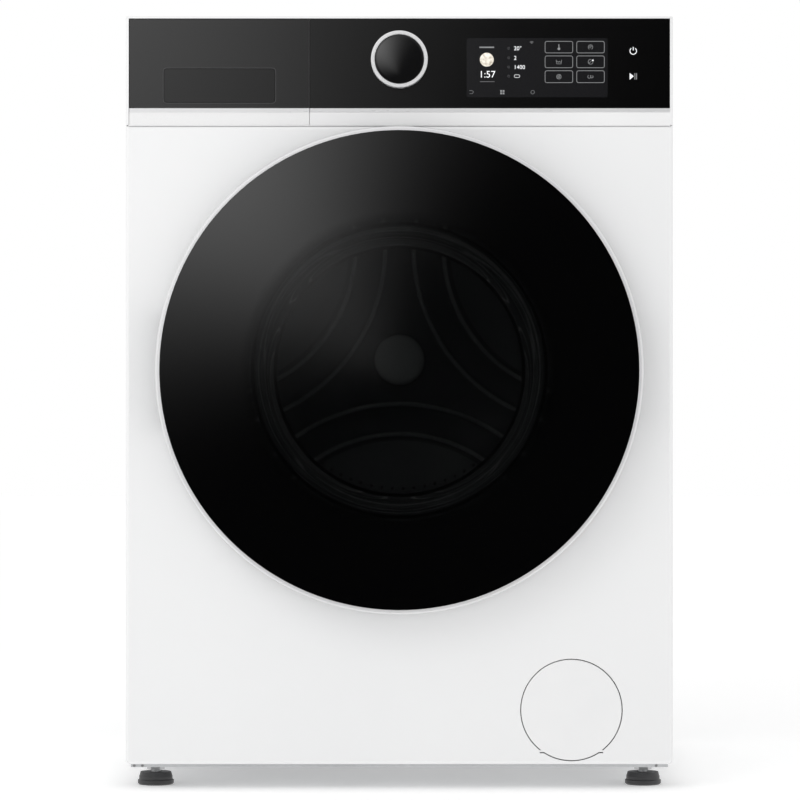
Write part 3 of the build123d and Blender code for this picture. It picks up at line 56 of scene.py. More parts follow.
# ---------------------------------------------------------------- places taken from the frame
trim_low, trim_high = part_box("fascia_trim")
drawer_low, drawer_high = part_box("drawer_front")
ring_low, ring_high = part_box("door_trim_ring")
knob_low, knob_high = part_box("knob_ring")
drum_low, drum_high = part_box("drum_shell")
gasket_low, gasket_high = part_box("door_gasket")
panel_low, panel_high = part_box("front_panel")
flap_low, flap_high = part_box("drawer_flap")
tray_low, tray_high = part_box("base_tray")

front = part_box("fascia_panel")[0].y
trim_z = (trim_low.z, trim_high.z)
door_z = (ring_low.z + ring_high.z) / 2
knob_z = (knob_low.z + knob_high.z) / 2
drum_z = (drum_low.z + drum_high.z) / 2
drum_radius = (drum_high.x - drum_low.x) / 2
SCREEN_Y = front - 0.15 * MM
BAND_HEIGHT = 13.6 * MM

# ---------------------------------------------------------------- pressing of the drum's back
BOW_RADIUS = 215 * MM
BOW_DISTANCE = 268 * MM
CHANNEL = 36 * MM
HUB_DISC = 31 * MM


def bow_centres():
    """Centres (x, z) of the three curved channels pressed in the drum's back."""
    angles = [radians(30 + 120 * third) for third in range(3)]
    return [(BOW_DISTANCE * cos(a), drum_z + BOW_DISTANCE * sin(a)) for a in angles]


# ---------------------------------------------------------------- node graph helper
class Graph:
    """A material being built: adds nodes, sets their sockets and links them."""

    def __init__(self, name):
        self.material = bpy.data.materials.new(name)
        self.material.use_nodes = True
        self.tree = self.material.node_tree
        self.tree.nodes.clear()
        self.output = self.tree.nodes.new("ShaderNodeOutputMaterial")

    def add(self, kind, inputs=None, **settings):
        """New node with its sockets set, or linked where a value is another node's socket."""
        node = self.tree.nodes.new("ShaderNode" + kind)
        for key, value in settings.items():
            setattr(node, key, value)
        for key, value in (inputs or {}).items():
            self.put(node.inputs[key], value)
        return node

    def put(self, socket, value):
        """Sets a socket to a number or colour, or links it."""
        if isinstance(value, bpy.types.NodeSocket):
            self.tree.links.new(value, socket)
        else:
            socket.default_value = value

    def math(self, operation, first, second=0.0):
        """Output of one math node."""
        node = self.add("Math", {0: first, 1: second}, operation=operation)
        return node.outputs[0]

    def place(self):
        """Object coordinates, which stay with the piece as it moves."""
        return self.add("TexCoord").outputs["Object"]

    def noise(self, scale, detail=3.0, stretch=(1, 1, 1), roughness=0.5):
        """Noise value over object coordinates, stretched along some axes."""
        scaled = self.add("Mapping", {"Vector": self.place(), "Scale": stretch})
        inputs = {"Vector": scaled.outputs[0], "Scale": scale, "Detail": detail, "Roughness": roughness}
        return self.add("TexNoise", inputs).outputs[0]

    def ramp(self, value, low, high, start=0.0, end=1.0):
        """Value remapped from start..end to low..high."""
        inputs = {"Value": value, "From Min": start, "From Max": end, "To Min": low, "To Max": high}
        return self.add("MapRange", inputs).outputs[0]

    def tint(self, value, dark, light, start=0.3, end=0.7):
        """Colour between two, by a value."""
        return self.blend(self.ramp(value, 0.0, 1.0, start, end), (*dark, 1), (*light, 1))

    def blend(self, share, first, second):
        """Colour mixed between two by a share."""
        node = self.add("Mix", data_type="RGBA")
        self.put(node.inputs[0], share)
        self.put(node.inputs[6], first)
        self.put(node.inputs[7], second)
        return node.outputs[2]

    def distance(self, across, up):
        """Length of the line whose two sides are these."""
        squares = (self.math("POWER", across, 2.0), self.math("POWER", up, 2.0))
        return self.math("SQRT", self.math("ADD", *squares))

    def from_axis(self, place, x, z):
        """Distance of a place from a line along Y at x, z."""
        return self.distance(self.math("SUBTRACT", place[0], x), self.math("SUBTRACT", place[2], z))

    def cell(self, value):
        """Place within a cell of length 1, from its middle."""
        return self.math("SUBTRACT", self.math("FRACT", value), 0.5)

    def swap(self, share, first, second):
        """Number that goes from first to second as share goes from 0 to 1."""
        kept = self.math("MULTIPLY", self.math("SUBTRACT", 1.0, share), first)
        return self.math("ADD", kept, self.math("MULTIPLY", share, second))

    def bump(self, height, strength, distance):
        """Normal from a height."""
        inputs = {"Height": height, "Strength": strength, "Distance": distance}
        return self.add("Bump", inputs).outputs[0]

    def surface(self, **inputs):
        """Principled shader with its sockets set by name, with _ for spaces."""
        named = {key.replace("_", " "): value for key, value in inputs.items()}
        return self.add("BsdfPrincipled", named).outputs[0]

    def finish(self, shader):
        """Links the shader to the output and gives the material."""
        self.put(self.output.inputs["Surface"], shader)
        return self.material


# ---------------------------------------------------------------- materials
def enamel():
    """White baked enamel with a faint orange peel."""
    g = Graph("white_enamel")
    peel = g.noise(900, 2)
    cloud = g.noise(3.0, 2)
    return g.finish(
        g.surface(
            Base_Color=g.tint(cloud, (0.885, 0.888, 0.892), (0.905, 0.906, 0.908)),
            Roughness=g.ramp(cloud, 0.26, 0.34),
            Normal=g.bump(peel, 0.05, 0.0002),
            Coat_Weight=0.25,
            Coat_Roughness=0.12,
        )
    )


def moulded(name, dark, light, roughness, grain=1400, strength=0.12, specular=0.5):
    """Moulded plastic with a fine spark-eroded grain and slight colour drift."""
    g = Graph(name)
    fine = g.noise(grain, 3)
    drift = g.noise(9.0, 3)
    return g.finish(
        g.surface(
            Base_Color=g.tint(drift, dark, light),
            Roughness=g.ramp(fine, roughness - 0.06, roughness + 0.08),
            Specular_IOR_Level=specular,
            Normal=g.bump(fine, strength, 0.0002),
        )
    )


def gloss_black(name, level=0.006, roughness=0.045, specular=0.5):
    """Black-backed glass: a very smooth face with faint wipe marks."""
    g = Graph(name)
    smear = g.noise(14, 4, (1.0, 1.0, 0.25))
    return g.finish(
        g.surface(
            Base_Color=(level, level, level * 1.05, 1),
            Roughness=g.ramp(smear, roughness, roughness + 0.03),
            Specular_IOR_Level=specular,
        )
    )


def metal(name, dark, light, roughness, stretch=(1, 1, 1), scale=220, strength=0.12, metallic=1.0):
    """Bare or plated metal, with a grain stretched along the way it was drawn."""
    g = Graph(name)
    grain = g.noise(scale, 5, stretch)
    cloud = g.noise(7.0, 3)
    return g.finish(
        g.surface(
            Base_Color=g.tint(cloud, dark, light),
            Metallic=metallic,
            Roughness=g.ramp(grain, roughness - 0.05, roughness + 0.1),
            Normal=g.bump(grain, strength, 0.0002),
        )
    )


def galvanised():
    """Zinc-coated sheet with its spangle."""
    g = Graph("galvanised_sheet")
    cells = g.add("TexVoronoi", {"Vector": g.place(), "Scale": 150.0}).outputs["Color"]
    tone = g.add("SeparateColor", {"Color": cells}).outputs[0]
    fine = g.noise(500, 4)
    return g.finish(
        g.surface(
            Base_Color=g.tint(tone, (0.53, 0.545, 0.56), (0.63, 0.64, 0.655), 0.0, 1.0),
            Metallic=0.9,
            Roughness=g.ramp(tone, 0.36, 0.5),
            Normal=g.bump(fine, 0.1, 0.0002),
        )
    )


def rubber():
    """Dull grey-black rubber with a dusty bloom."""
    g = Graph("rubber")
    bloom = g.noise(30, 6)
    fine = g.noise(1200, 3)
    return g.finish(
        g.surface(
            Base_Color=g.tint(bloom, (0.09, 0.09, 0.095), (0.14, 0.14, 0.145)),
            Roughness=g.ramp(bloom, 0.55, 0.75),
            Normal=g.bump(fine, 0.2, 0.0003),
        )
    )


def concrete():
    """Cast concrete with pores and sand."""
    g = Graph("concrete")
    sand = g.noise(260, 8, roughness=0.7)
    patch = g.noise(12, 5)
    cells = g.add("TexVoronoi", {"Vector": g.place(), "Scale": 120.0})
    pores = g.ramp(cells.outputs["Distance"], 0.0, 1.0, 0.1, 0.35)
    height = g.math("MULTIPLY", sand, pores)
    return g.finish(
        g.surface(
            Base_Color=g.tint(patch, (0.36, 0.35, 0.33), (0.52, 0.51, 0.49)),
            Roughness=0.9,
            Normal=g.bump(height, 0.6, 0.002),
        )
    )


def circuit():
    """Green board with copper tracks showing through the lacquer."""
    g = Graph("circuit_board")
    bricks = g.add("TexBrick", {"Vector": g.place(), "Scale": 90.0, "Mortar Size": 0.03})
    return g.finish(
        g.surface(
            Base_Color=g.tint(bricks.outputs["Fac"], (0.02, 0.13, 0.06), (0.16, 0.28, 0.08), 0.0, 1.0),
            Roughness=0.35,
            Normal=g.bump(bricks.outputs["Fac"], 0.3, 0.0002),
        )
    )


def clear_glass():
    """Pressed bowl glass: see-through, with its reflection and a green-grey tint."""
    g = Graph("bowl_glass")
    ripple = g.noise(14, 2)
    normal = g.bump(ripple, 0.08, 0.002)
    clear = g.add("BsdfTransparent", {"Color": (0.93, 0.95, 0.945, 1)}).outputs[0]
    shine = g.add("BsdfGlossy", {"Color": (1, 1, 1, 1), "Roughness": 0.02, "Normal": normal}).outputs[0]
    edge = g.add("Fresnel", {"IOR": 1.22, "Normal": normal}).outputs[0]
    return g.finish(g.add("MixShader", {0: edge, 1: clear, 2: shine}).outputs[0])


def door_glass(window_radius, clearness):
    """Dark outer glass: printed black at its rim, and partly see-through over the bowl."""
    g = Graph("door_dark_glass")
    place = g.add("SeparateXYZ", {0: g.place()}).outputs
    radius = g.from_axis(place, 0.0, door_z)
    print_edge = 14 * MM
    smear = g.noise(11, 4)
    return g.finish(
        g.surface(
            Base_Color=(0.0012, 0.0012, 0.0013, 1),
            Roughness=g.ramp(smear, 0.025, 0.045),
            Alpha=g.ramp(radius, 1.0 - clearness, 1.0, window_radius - print_edge, window_radius),
        )
    )


def perforated_steel():
    """Stainless drum wrapper with staggered rows of drain holes, which are painted near-black as painted
    shade.
    """
    g = Graph("perforated_steel")
    place = g.add("SeparateXYZ", {0: g.place()}).outputs
    up = g.math("SUBTRACT", place[2], drum_z)
    around = g.math("ARCTAN2", place[0], up)
    pitch = 15 * MM
    hole = 2.2 * MM
    row_pitch = 0.866
    arc = g.math("MULTIPLY", around, drum_radius / pitch)
    row = g.math("DIVIDE", place[1], pitch * row_pitch)
    row_cell = g.math("FLOOR", row)
    shift = g.math("MULTIPLY", g.math("MODULO", row_cell, 2.0), 0.5)
    arc_part = g.cell(g.math("ADD", arc, shift))
    row_part = g.math("MULTIPLY", g.cell(row), row_pitch)
    distance = g.distance(arc_part, row_part)
    edge = hole / pitch
    solid = g.ramp(distance, 0.0, 1.0, edge * 0.9, edge)
    dish = g.ramp(distance, 0.0, 1.0, edge, edge * 2.2)
    grain = g.noise(300, 4, (1, 0.05, 1))
    steel = g.surface(
        Base_Color=g.tint(grain, (0.60, 0.61, 0.62), (0.72, 0.73, 0.74)),
        Metallic=0.7,
        Roughness=g.ramp(grain, 0.22, 0.34),
        Normal=g.bump(dish, 0.8, 0.002),
    )
    # Near-black diffuse in the holes: painted shade in the holes.
    hole_shade = g.add("BsdfDiffuse", {"Color": (0.004, 0.004, 0.004, 1)}).outputs[0]
    return g.finish(g.add("MixShader", {0: solid, 1: hole_shade, 2: steel}).outputs[0])


def drum_back_steel():
    """Brushed drum wall: beads and hub painted near-white as painted highlights, arms painted darker than the
    lenses as painted shade, and a band of drain holes in each lens painted near-black as painted shade.
    """
    g = Graph("drum_back_steel")
    place = g.add("SeparateXYZ", {0: g.place()}).outputs
    grain = g.noise(300, 4, (1, 1, 0.1))
    margin = 8 * MM
    # Mask of the beads and hub, whose near-white base colour is a painted highlight standing in for the light
    # they catch.
    painted_highlight = 0.0
    lens = 0.0
    for x, z in bow_centres():
        distance = g.from_axis(place, x, z)
        for radius in (BOW_RADIUS, BOW_RADIUS - CHANNEL):
            off = g.math("ABSOLUTE", g.math("SUBTRACT", distance, radius))
            painted_highlight = g.math("MAXIMUM", painted_highlight, g.ramp(off, 1.0, 0.0, 1.5 * MM, 3.5 * MM))
        lens = g.math("MAXIMUM", lens, g.math("LESS_THAN", distance, BOW_RADIUS - CHANNEL - margin))
    radius = g.from_axis(place, 0.0, drum_z)
    hub = g.ramp(radius, 1.0, 0.0, HUB_DISC - 2 * MM, HUB_DISC)
    painted_highlight = g.math("MAXIMUM", painted_highlight, hub)
    first_row = 150 * MM
    pitch = 9.5 * MM
    row_count = 3.0
    holes_per_radian = 12.0
    cell_shape = 1.5
    hole_size = 0.2
    around = g.math("ARCTAN2", g.math("SUBTRACT", place[2], drum_z), place[0])
    row = g.math("DIVIDE", g.math("SUBTRACT", radius, first_row), pitch)
    in_band = g.math("MULTIPLY", g.math("GREATER_THAN", row, 0.0), g.math("LESS_THAN", row, row_count))
    shift = g.math("MULTIPLY", g.math("FLOOR", row), 0.5)
    arc_part = g.cell(g.math("ADD", g.math("MULTIPLY", around, holes_per_radian), shift))
    spot = g.distance(g.math("MULTIPLY", arc_part, cell_shape), g.cell(row))
    hole = g.math("MULTIPLY", g.math("LESS_THAN", spot, hole_size), g.math("MULTIPLY", in_band, lens))
    # Arms painted darker than the lenses: painted shade standing in for how the light falls on the pressing.
    field = g.tint(lens, (0.16, 0.165, 0.17), (0.34, 0.345, 0.35), 0.0, 1.0)
    steel = g.blend(painted_highlight, field, (0.95, 0.95, 0.95, 1))
    # Drain holes painted near-black: painted shade in the holes.
    colour = g.blend(hole, steel, (0.004, 0.004, 0.004, 1))
    return g.finish(
        g.surface(
            Base_Color=colour,
            Metallic=g.ramp(hole, 0.35, 0.0),
            Roughness=g.ramp(grain, 0.3, 0.45),
            Normal=g.bump(grain, 0.1, 0.0003),
        )
    )


def glowing(name, colour, strength):
    """Printed or lit mark on the control glass."""
    g = Graph(name)
    grain = g.noise(900, 2)
    return g.finish(
        g.surface(
            Base_Color=g.tint(grain, tuple(0.8 * c for c in colour), colour),
            Roughness=0.5,
            Emission_Color=(*colour, 1),
            Emission_Strength=strength,
        )
    )


def by_height(name, zones):
    """One moulding in several finishes: zones are (lowest z, colour, metallic, roughness), going up."""
    g = Graph(name)
    height = g.add("SeparateXYZ", {0: g.place()}).outputs[2]
    fine = g.noise(1400, 3)
    speckle = 0.94

    def speckled(colour):
        return g.tint(fine, tuple(speckle * part for part in colour), colour)

    paint_colour = speckled(zones[0][1])
    metal_share = zones[0][2]
    dullness = zones[0][3]
    for low, colour, metallic, roughness in zones[1:]:
        above = g.math("GREATER_THAN", height, low)
        paint_colour = g.blend(above, paint_colour, speckled(colour))
        metal_share = g.swap(above, metal_share, metallic)
        dullness = g.swap(above, dullness, roughness)
    return g.finish(
        g.surface(
            Base_Color=paint_colour,
            Metallic=metal_share,
            Roughness=dullness,
            Normal=g.bump(fine, 0.04, 0.0002),
        )
    )


WHITE = enamel()
WHITE_PLASTIC = moulded("white_moulding", (0.87, 0.87, 0.875), (0.90, 0.90, 0.90), 0.32, strength=0.05)
PALE_GREY = moulded("pale_grey_moulding", (0.50, 0.51, 0.52), (0.58, 0.59, 0.60), 0.45)
TUB_GREY = moulded("tub_moulding", (0.42, 0.43, 0.44), (0.52, 0.53, 0.54), 0.5, grain=500, strength=0.3)
BLACK_PLASTIC = moulded("black_moulding", (0.018, 0.018, 0.019), (0.03, 0.03, 0.031), 0.4)
CONTROL_GLASS = gloss_black("control_glass", 0.0015, 0.10, 0.4)
TRIM = metal("satin_trim", (0.80, 0.80, 0.81), (0.86, 0.86, 0.865), 0.28, (0.05, 1, 1), 900, 0.06, 0.45)
STAINLESS = metal("stainless", (0.60, 0.61, 0.62), (0.72, 0.72, 0.73), 0.3, (1, 1, 0.08), 400, metallic=0.7)
STEEL = metal("plain_steel", (0.36, 0.36, 0.37), (0.48, 0.48, 0.49), 0.38)
ZINC = metal("zinc_plate", (0.58, 0.59, 0.60), (0.72, 0.72, 0.72), 0.33, scale=120)
CAST = metal("cast_aluminium", (0.55, 0.56, 0.57), (0.66, 0.67, 0.68), 0.5, scale=260, strength=0.35)
GALVANISED = galvanised()
RUBBER = rubber()
CONCRETE = concrete()
CIRCUIT = circuit()
BOWL_GLASS = clear_glass()
PERFORATED = perforated_steel()
DOOR_GLASS = door_glass(172 * MM, 0.48)
BRIGHT_MARK = glowing("bright_mark", (0.80, 0.81, 0.83), 0.5)
GREY_MARK = glowing("grey_mark", (0.24, 0.245, 0.25), 0.3)
DIM_MARK = glowing("dim_mark", (0.12, 0.12, 0.125), 0.2)


def paint(material, *names):
    """Gives CAD nodes one finish."""
    for name in names:
        mesh = nodes[name].data
        mesh.materials.clear()
        mesh.materials.append(material)


paint(WHITE, "left_side_panel", "right_side_panel", "front_panel", "top_panel")
paint(WHITE_PLASTIC, "fascia_carrier", "door_inner_frame", "filter_cover", "drawer_tray", "dispenser_housing")
paint(GALVANISED, "rear_panel", "rear_service_cover", "door_hinge_bracket")
paint(ZINC, "rear_screws", "lock_nuts")
paint(PALE_GREY, "base_tray", "transit_plugs", "siphon_cap", "pump_filter", "drum_lifters")
paint(TUB_GREY, "tub_front", "tub_rear")
paint(BLACK_PLASTIC, "cable_gland", "door_lock", "door_hook")
paint(BLACK_PLASTIC, "drain_pump", "pump_impeller", "damper_cylinders")
paint(CONTROL_GLASS, "fascia_panel", "drawer_flap")
paint(TRIM, "fascia_trim", "door_trim_ring", "knob_ring")
paint(CIRCUIT, "control_board")
paint(BOWL_GLASS, "door_bowl")
paint(DOOR_GLASS, "door_glass_cover")
paint(RUBBER, "inlet_hose", "drain_hose", "drive_belt", "door_gasket", "dispenser_hose", "sump_hose")
paint(PERFORATED, "drum_shell")
paint(STAINLESS, "drum_back", "heater")
paint(STEEL, "drum_bearings", "damper_rods", "motor_rotor", "motor_body")
paint(CAST, "drum_spider", "drum_pulley", "door_hinge_arm")
paint(CONCRETE, "counterweights")
drawer_zones = [
    (0, (0.885, 0.885, 0.885), 0.0, 0.32),
    (trim_z[0], (0.83, 0.83, 0.84), 0.45, 0.28),
    (trim_z[1], (0.0018, 0.0018, 0.0019), 0.0, 0.11),
]
paint(by_height("drawer_front_finish", drawer_zones), "drawer_front")
paint(WHITE_PLASTIC, "inlet_valve")
foot_pad = 14 * MM
foot_zones = [(0, (0.05, 0.05, 0.052), 0.0, 0.42), (foot_pad, (0.55, 0.56, 0.57), 1.0, 0.34)]
FOOT = by_height("foot_finish", foot_zones)
paint(FOOT, "foot_front_left", "foot_front_right", "foot_rear_left", "foot_rear_right")


# ---------------------------------------------------------------- mesh helpers
def from_mesh(name, mesh, material, body, smooth=True):
    """Piece of one material from a mesh, riding on a body if it is given one."""
    for face in mesh.polygons:
        face.use_smooth = smooth
    mesh.materials.clear()
    mesh.materials.append(material)
    piece = bpy.data.objects.new(name, mesh)
    bpy.context.scene.collection.objects.link(piece)
    if body:
        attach(piece, body)
    return piece


def from_bmesh(name, bm, material, body, smooth=True):
    """Finished piece from a bmesh, with its faces turned outwards."""
    mesh = bpy.data.meshes.new(name)
    bmesh.ops.recalc_face_normals(bm, faces=bm.faces)
    bm.to_mesh(mesh)
    bm.free()
    return from_mesh(name, mesh, material, body, smooth)


def mesh_of(curve):
    """Mesh of a curve or text as it is drawn."""
    holder = bpy.data.objects.new(curve.name + "_curve", curve)
    bpy.context.scene.collection.objects.link(holder)
    graph = bpy.context.evaluated_depsgraph_get()
    mesh = bpy.data.meshes.new_from_object(holder.evaluated_get(graph))
    bpy.data.objects.remove(holder)
    return mesh


def circle(count):
    """Angles evenly round a circle."""
    return [2 * pi * step / count for step in range(count)]


def join_loops(bm, first, second):
    """Four-sided faces between two loops of as many points."""
    count = len(first)
    for step in range(count):
        after = (step + 1) % count
        bm.faces.new((first[step], first[after], second[after], second[step]))


def rings_mesh(rings, closed):
    """Bmesh through rings of points, each joined to the next; closed joins the last to the first."""
    bm = bmesh.new()
    loops = [[bm.verts.new(point) for point in ring] for ring in rings]
    pairs = list(zip(loops, loops[1:]))
    if closed:
        pairs.append((loops[-1], loops[0]))
    for first, second in pairs:
        join_loops(bm, first, second)
    return bm


CREASE_ANGLE = 32


def turned(name, profile, x, z, material, body, segments=128):
    """Solid turned about a line along Y from a closed profile of (radius, y); a zero radius is a pole."""
    bm = bmesh.new()
    loops = []
    for radius, y in profile:
        angles = circle(segments if radius > 0 else 1)
        loops.append([bm.verts.new((x + radius * cos(a), y, z + radius * sin(a))) for a in angles])
    for first, second in zip(loops, loops[1:] + loops[:1]):
        if len(first) == len(second) == 1:
            continue
        for step in range(segments):
            after = (step + 1) % segments
            corners = [first[step % len(first)], first[after % len(first)]]
            corners += [second[after % len(second)], second[step % len(second)]]
            bm.faces.new(list(dict.fromkeys(corners)))
    piece = from_bmesh(name, bm, material, body)
    crease = piece.modifiers.new("crease", "EDGE_SPLIT")
    crease.split_angle = radians(CREASE_ANGLE)
    return piece


def tube(name, points, width, material, body, cyclic=False, resolution=3):
    """Thin round line through points, as a mesh."""
    curve = bpy.data.curves.new(name, "CURVE")
    curve.dimensions = "3D"
    spline = curve.splines.new("POLY")
    spline.points.add(len(points) - 1)
    for target, point in zip(spline.points, points):
        target.co = (*point, 1)
    spline.use_cyclic_u = cyclic
    curve.bevel_depth = width / 2
    curve.bevel_resolution = resolution
    curve.use_fill_caps = True
    return from_mesh(name, mesh_of(curve), material, body)


def arc(x, z, radius, start, end, steps=24, y=None):
    """Points of an arc on the control glass, angles in degrees."""
    height = SCREEN_Y if y is None else y
    points = []
    for step in range(steps + 1):
        angle = radians(start + (end - start) * step / steps)
        points.append((x + radius * cos(angle), height, z + radius * sin(angle)))
    return points


def rounded_rectangle(x_range, z_range, radius, y, steps=6):
    """Points round a rectangle with rounded corners, on a plane of that y."""
    points = []
    corners = (
        (x_range[1] - radius, z_range[1] - radius, 0),
        (x_range[0] + radius, z_range[1] - radius, 90),
        (x_range[0] + radius, z_range[0] + radius, 180),
        (x_range[1] - radius, z_range[0] + radius, 270),
    )
    for x, z, start in corners:
        points += arc(x, z, radius, start, start + 90, steps, y)
    return points


def plate(name, outline, thickness, material, body):
    """Flat plate of an outline on a plane across Y, thickened towards the back."""
    bm = bmesh.new()
    near, far = [[bm.verts.new((x, y + shift, z)) for x, y, z in outline] for shift in (0.0, thickness)]
    bm.faces.new(near)
    bm.faces.new(far)
    join_loops(bm, near, far)
    return from_bmesh(name, bm, material, body, smooth=False)


# ---------------------------------------------------------------- control strip
LINE = 0.55 * MM
PRINT = 0.05 * MM


def mark_line(name, points, width, material, closed=False):
    """Thin printed line on the control glass."""
    return tube(name, points, width, material, "cabinet", closed)


def mark_spot(name, outline, material, thickness=PRINT):
    """Filled printed mark on the control glass."""
    return plate(name, outline, thickness, material, "cabinet")


def straight(*spots):
    """Points on the control glass from (x, z) pairs."""
    return [(x, SCREEN_Y, z) for x, z in spots]


def lettering(name, words, x, z, size, material):
    """Numerals on the display, as a thin mesh."""
    curve = bpy.data.curves.new(name, "FONT")
    curve.body = words
    curve.size = size
    curve.align_x = "LEFT"
    curve.extrude = PRINT
    mesh = mesh_of(curve)
    for vertex in mesh.vertices:
        across, up, depth = vertex.co
        vertex.co = (x + across, SCREEN_Y - depth, z + up)
    from_mesh(name, mesh, material, "cabinet", False)


def display_window():
    """Lighter window of the display."""
    g = Graph("display_window")
    cells = g.noise(2500, 1)
    window = g.finish(
        g.surface(
            Base_Color=g.tint(cells, (0.006, 0.006, 0.007), (0.010, 0.010, 0.011)),
            Roughness=0.08,
            Emission_Color=(1, 1, 1.05, 1),
            Emission_Strength=0.0035,
        )
    )
    outline = rounded_rectangle((73.5 * MM, 227.5 * MM), (756.5 * MM, 821 * MM), 2 * MM, front - PRINT)
    plate("display_window", outline, PRINT, window, "cabinet")


def display_picture():
    """Pale folded cloth shown as a disc."""
    g = Graph("display_picture")
    folds = g.noise(260, 4)
    cloth = g.finish(
        g.surface(
            Base_Color=g.tint(folds, (0.35, 0.31, 0.25), (0.75, 0.71, 0.62)),
            Roughness=0.6,
            Emission_Color=g.tint(folds, (0.40, 0.35, 0.27), (0.86, 0.83, 0.76)),
            Emission_Strength=0.5,
        )
    )
    mark_spot("display_picture", arc(95.5 * MM, 797.5 * MM, 7.6 * MM, 0, 350, 35), cloth, 2 * PRINT)


def display_readings():
    """Time and settings, with bars where a real display has words."""
    lettering("display_time", "1:57", 87 * MM, 778 * MM, 10.5 * MM, BRIGHT_MARK)
    readings = (("degrees", "20°", 810), ("count", "2", 799.5), ("speed", "1400", 789.5))
    for name, words, z in readings:
        lettering(f"display_{name}", words, 125 * MM, (z - 2.2) * MM, 6.2 * MM, BRIGHT_MARK)
    for number, z in enumerate((810, 799.5, 789.5, 779.5)):
        ring = arc(119.5 * MM, z * MM, 1.1 * MM, 0, 330)
        mark_line(f"display_reading_{number}", ring, LINE * 0.6, DIM_MARK)
    switch = rounded_rectangle((125.5 * MM, 131.5 * MM), (778 * MM, 781 * MM), 1.4 * MM, SCREEN_Y)
    mark_line("display_switch", switch, LINE * 0.8, BRIGHT_MARK, True)
    title = straight((87.5 * MM, 811 * MM), (103.5 * MM, 811 * MM))
    mark_line("display_title", title, 1.6 * MM, GREY_MARK)
    caption = straight((88 * MM, 773.5 * MM), (104 * MM, 773.5 * MM))
    mark_line("display_caption", caption, 0.9 * MM, DIM_MARK)


def display_symbols():
    """Small symbols along the display's edges."""
    fine = LINE * 0.7
    for number, radius in enumerate((0.9, 1.9, 2.9)):
        wave = arc(144.6 * MM, 814.5 * MM, radius * MM, 45, 135, 8)
        mark_line(f"display_signal_{number}", wave, fine, GREY_MARK)
    back = straight((76.6 * MM, 760.3 * MM)) + arc(79 * MM, 762 * MM, 1.7 * MM, -90, 90, 10)
    back += straight((76.4 * MM, 763.7 * MM))
    mark_line("display_back", back, fine, GREY_MARK)
    half = 1.0 * MM
    pitch = 2.6
    for number in range(4):
        x = (111.2 + pitch * (number % 2)) * MM
        z = (760.7 + pitch * (number // 2)) * MM
        square = rounded_rectangle((x - half, x + half), (z - half, z + half), 0.2 * MM, SCREEN_Y)
        mark_spot(f"display_menu_{number}", square, GREY_MARK)
    mark_line("display_home", arc(145.6 * MM, 762 * MM, 1.9 * MM, 0, 350), fine, GREY_MARK, True)


def thermometer(name, x, z):
    """Temperature symbol: a stem over a bulb."""
    mark_line(name + "_stem", straight((x, z - 1 * MM), (x, z + 3 * MM)), 1.1 * MM, GREY_MARK)
    mark_spot(name + "_bulb", arc(x, z - 1.8 * MM, 1.5 * MM, 0, 340, 17), GREY_MARK)


def spiral(name, x, z):
    """Spin symbol: an open ring round a smaller one."""
    mark_line(name + "_ring", arc(x, z, 2.5 * MM, -60, 240), LINE, GREY_MARK)
    mark_line(name + "_core", arc(x, z + 0.2 * MM, 1.0 * MM, 0, 300, 12), LINE, GREY_MARK)


def basin(name, x, z):
    """Rinse symbol: a basin with a wave in it."""
    sides = ((-3.0, 2.2), (-2.4, -2.2), (2.4, -2.2), (3.0, 2.2))
    mark_line(name + "_tub", straight(*((x + a * MM, z + b * MM) for a, b in sides)), LINE, GREY_MARK)
    wave = ((x + (step / 4 - 2.2) * MM, z + 0.5 * MM * sin(step * 0.7)) for step in range(18))
    mark_line(name + "_wave", straight(*wave), LINE, GREY_MARK)


def delay(name, x, z):
    """Delay symbol: an open ring with a hand and a dot."""
    hand = 1.6 * MM
    mark_line(name + "_ring", arc(x, z, 2.6 * MM, 70, 380), LINE, GREY_MARK)
    mark_line(name + "_hand", straight((x - hand, z - hand), (x + hand, z + hand)), LINE, GREY_MARK)
    mark_spot(name + "_dot", arc(x + 2.6 * MM, z + hand, 0.9 * MM, 0, 330, 11), BRIGHT_MARK)


def ball(name, x, z):
    """Wool symbol: a ring with three slanted bands."""
    half = 1.7 * MM
    mark_line(name + "_ring", arc(x, z, 2.5 * MM, 20, 370), LINE, GREY_MARK)
    for number, shift in enumerate((-0.9, 0.3, 1.4)):
        band = straight((x - half, z + (shift - 0.8) * MM), (x + half, z + (shift + 0.4) * MM))
        mark_line(f"{name}_band_{number}", band, LINE, GREY_MARK)


def drops(name, x, z):
    """Extra water symbol: two open rings."""
    for number, (shift, size) in enumerate(((-1.3, 1.7), (1.5, 1.3))):
        mark_line(f"{name}_{number}", arc(x + shift * MM, z, size * MM, 120, 420, 16), LINE, GREY_MARK)


def touch_keys():
    """Six outlined touch keys, each with its own symbol."""
    columns = ((159.2, 189.4), (193.8, 223.9))
    rows = ((804.9, 817.5), (788.7, 801.6), (772.4, 785.4))
    keys = [(left, right, low, high) for low, high in rows for left, right in columns]
    symbols = (thermometer, spiral, basin, delay, ball, drops)
    for number, (left, right, low, high) in enumerate(keys):
        outline = rounded_rectangle((left * MM, right * MM), (low * MM, high * MM), 2 * MM, SCREEN_Y)
        mark_line(f"key_outline_{number}", outline, LINE * 1.2, GREY_MARK, True)
        symbols[number](f"key_symbol_{number}", (left + right) / 2 * MM, (low + high) / 2 * MM)


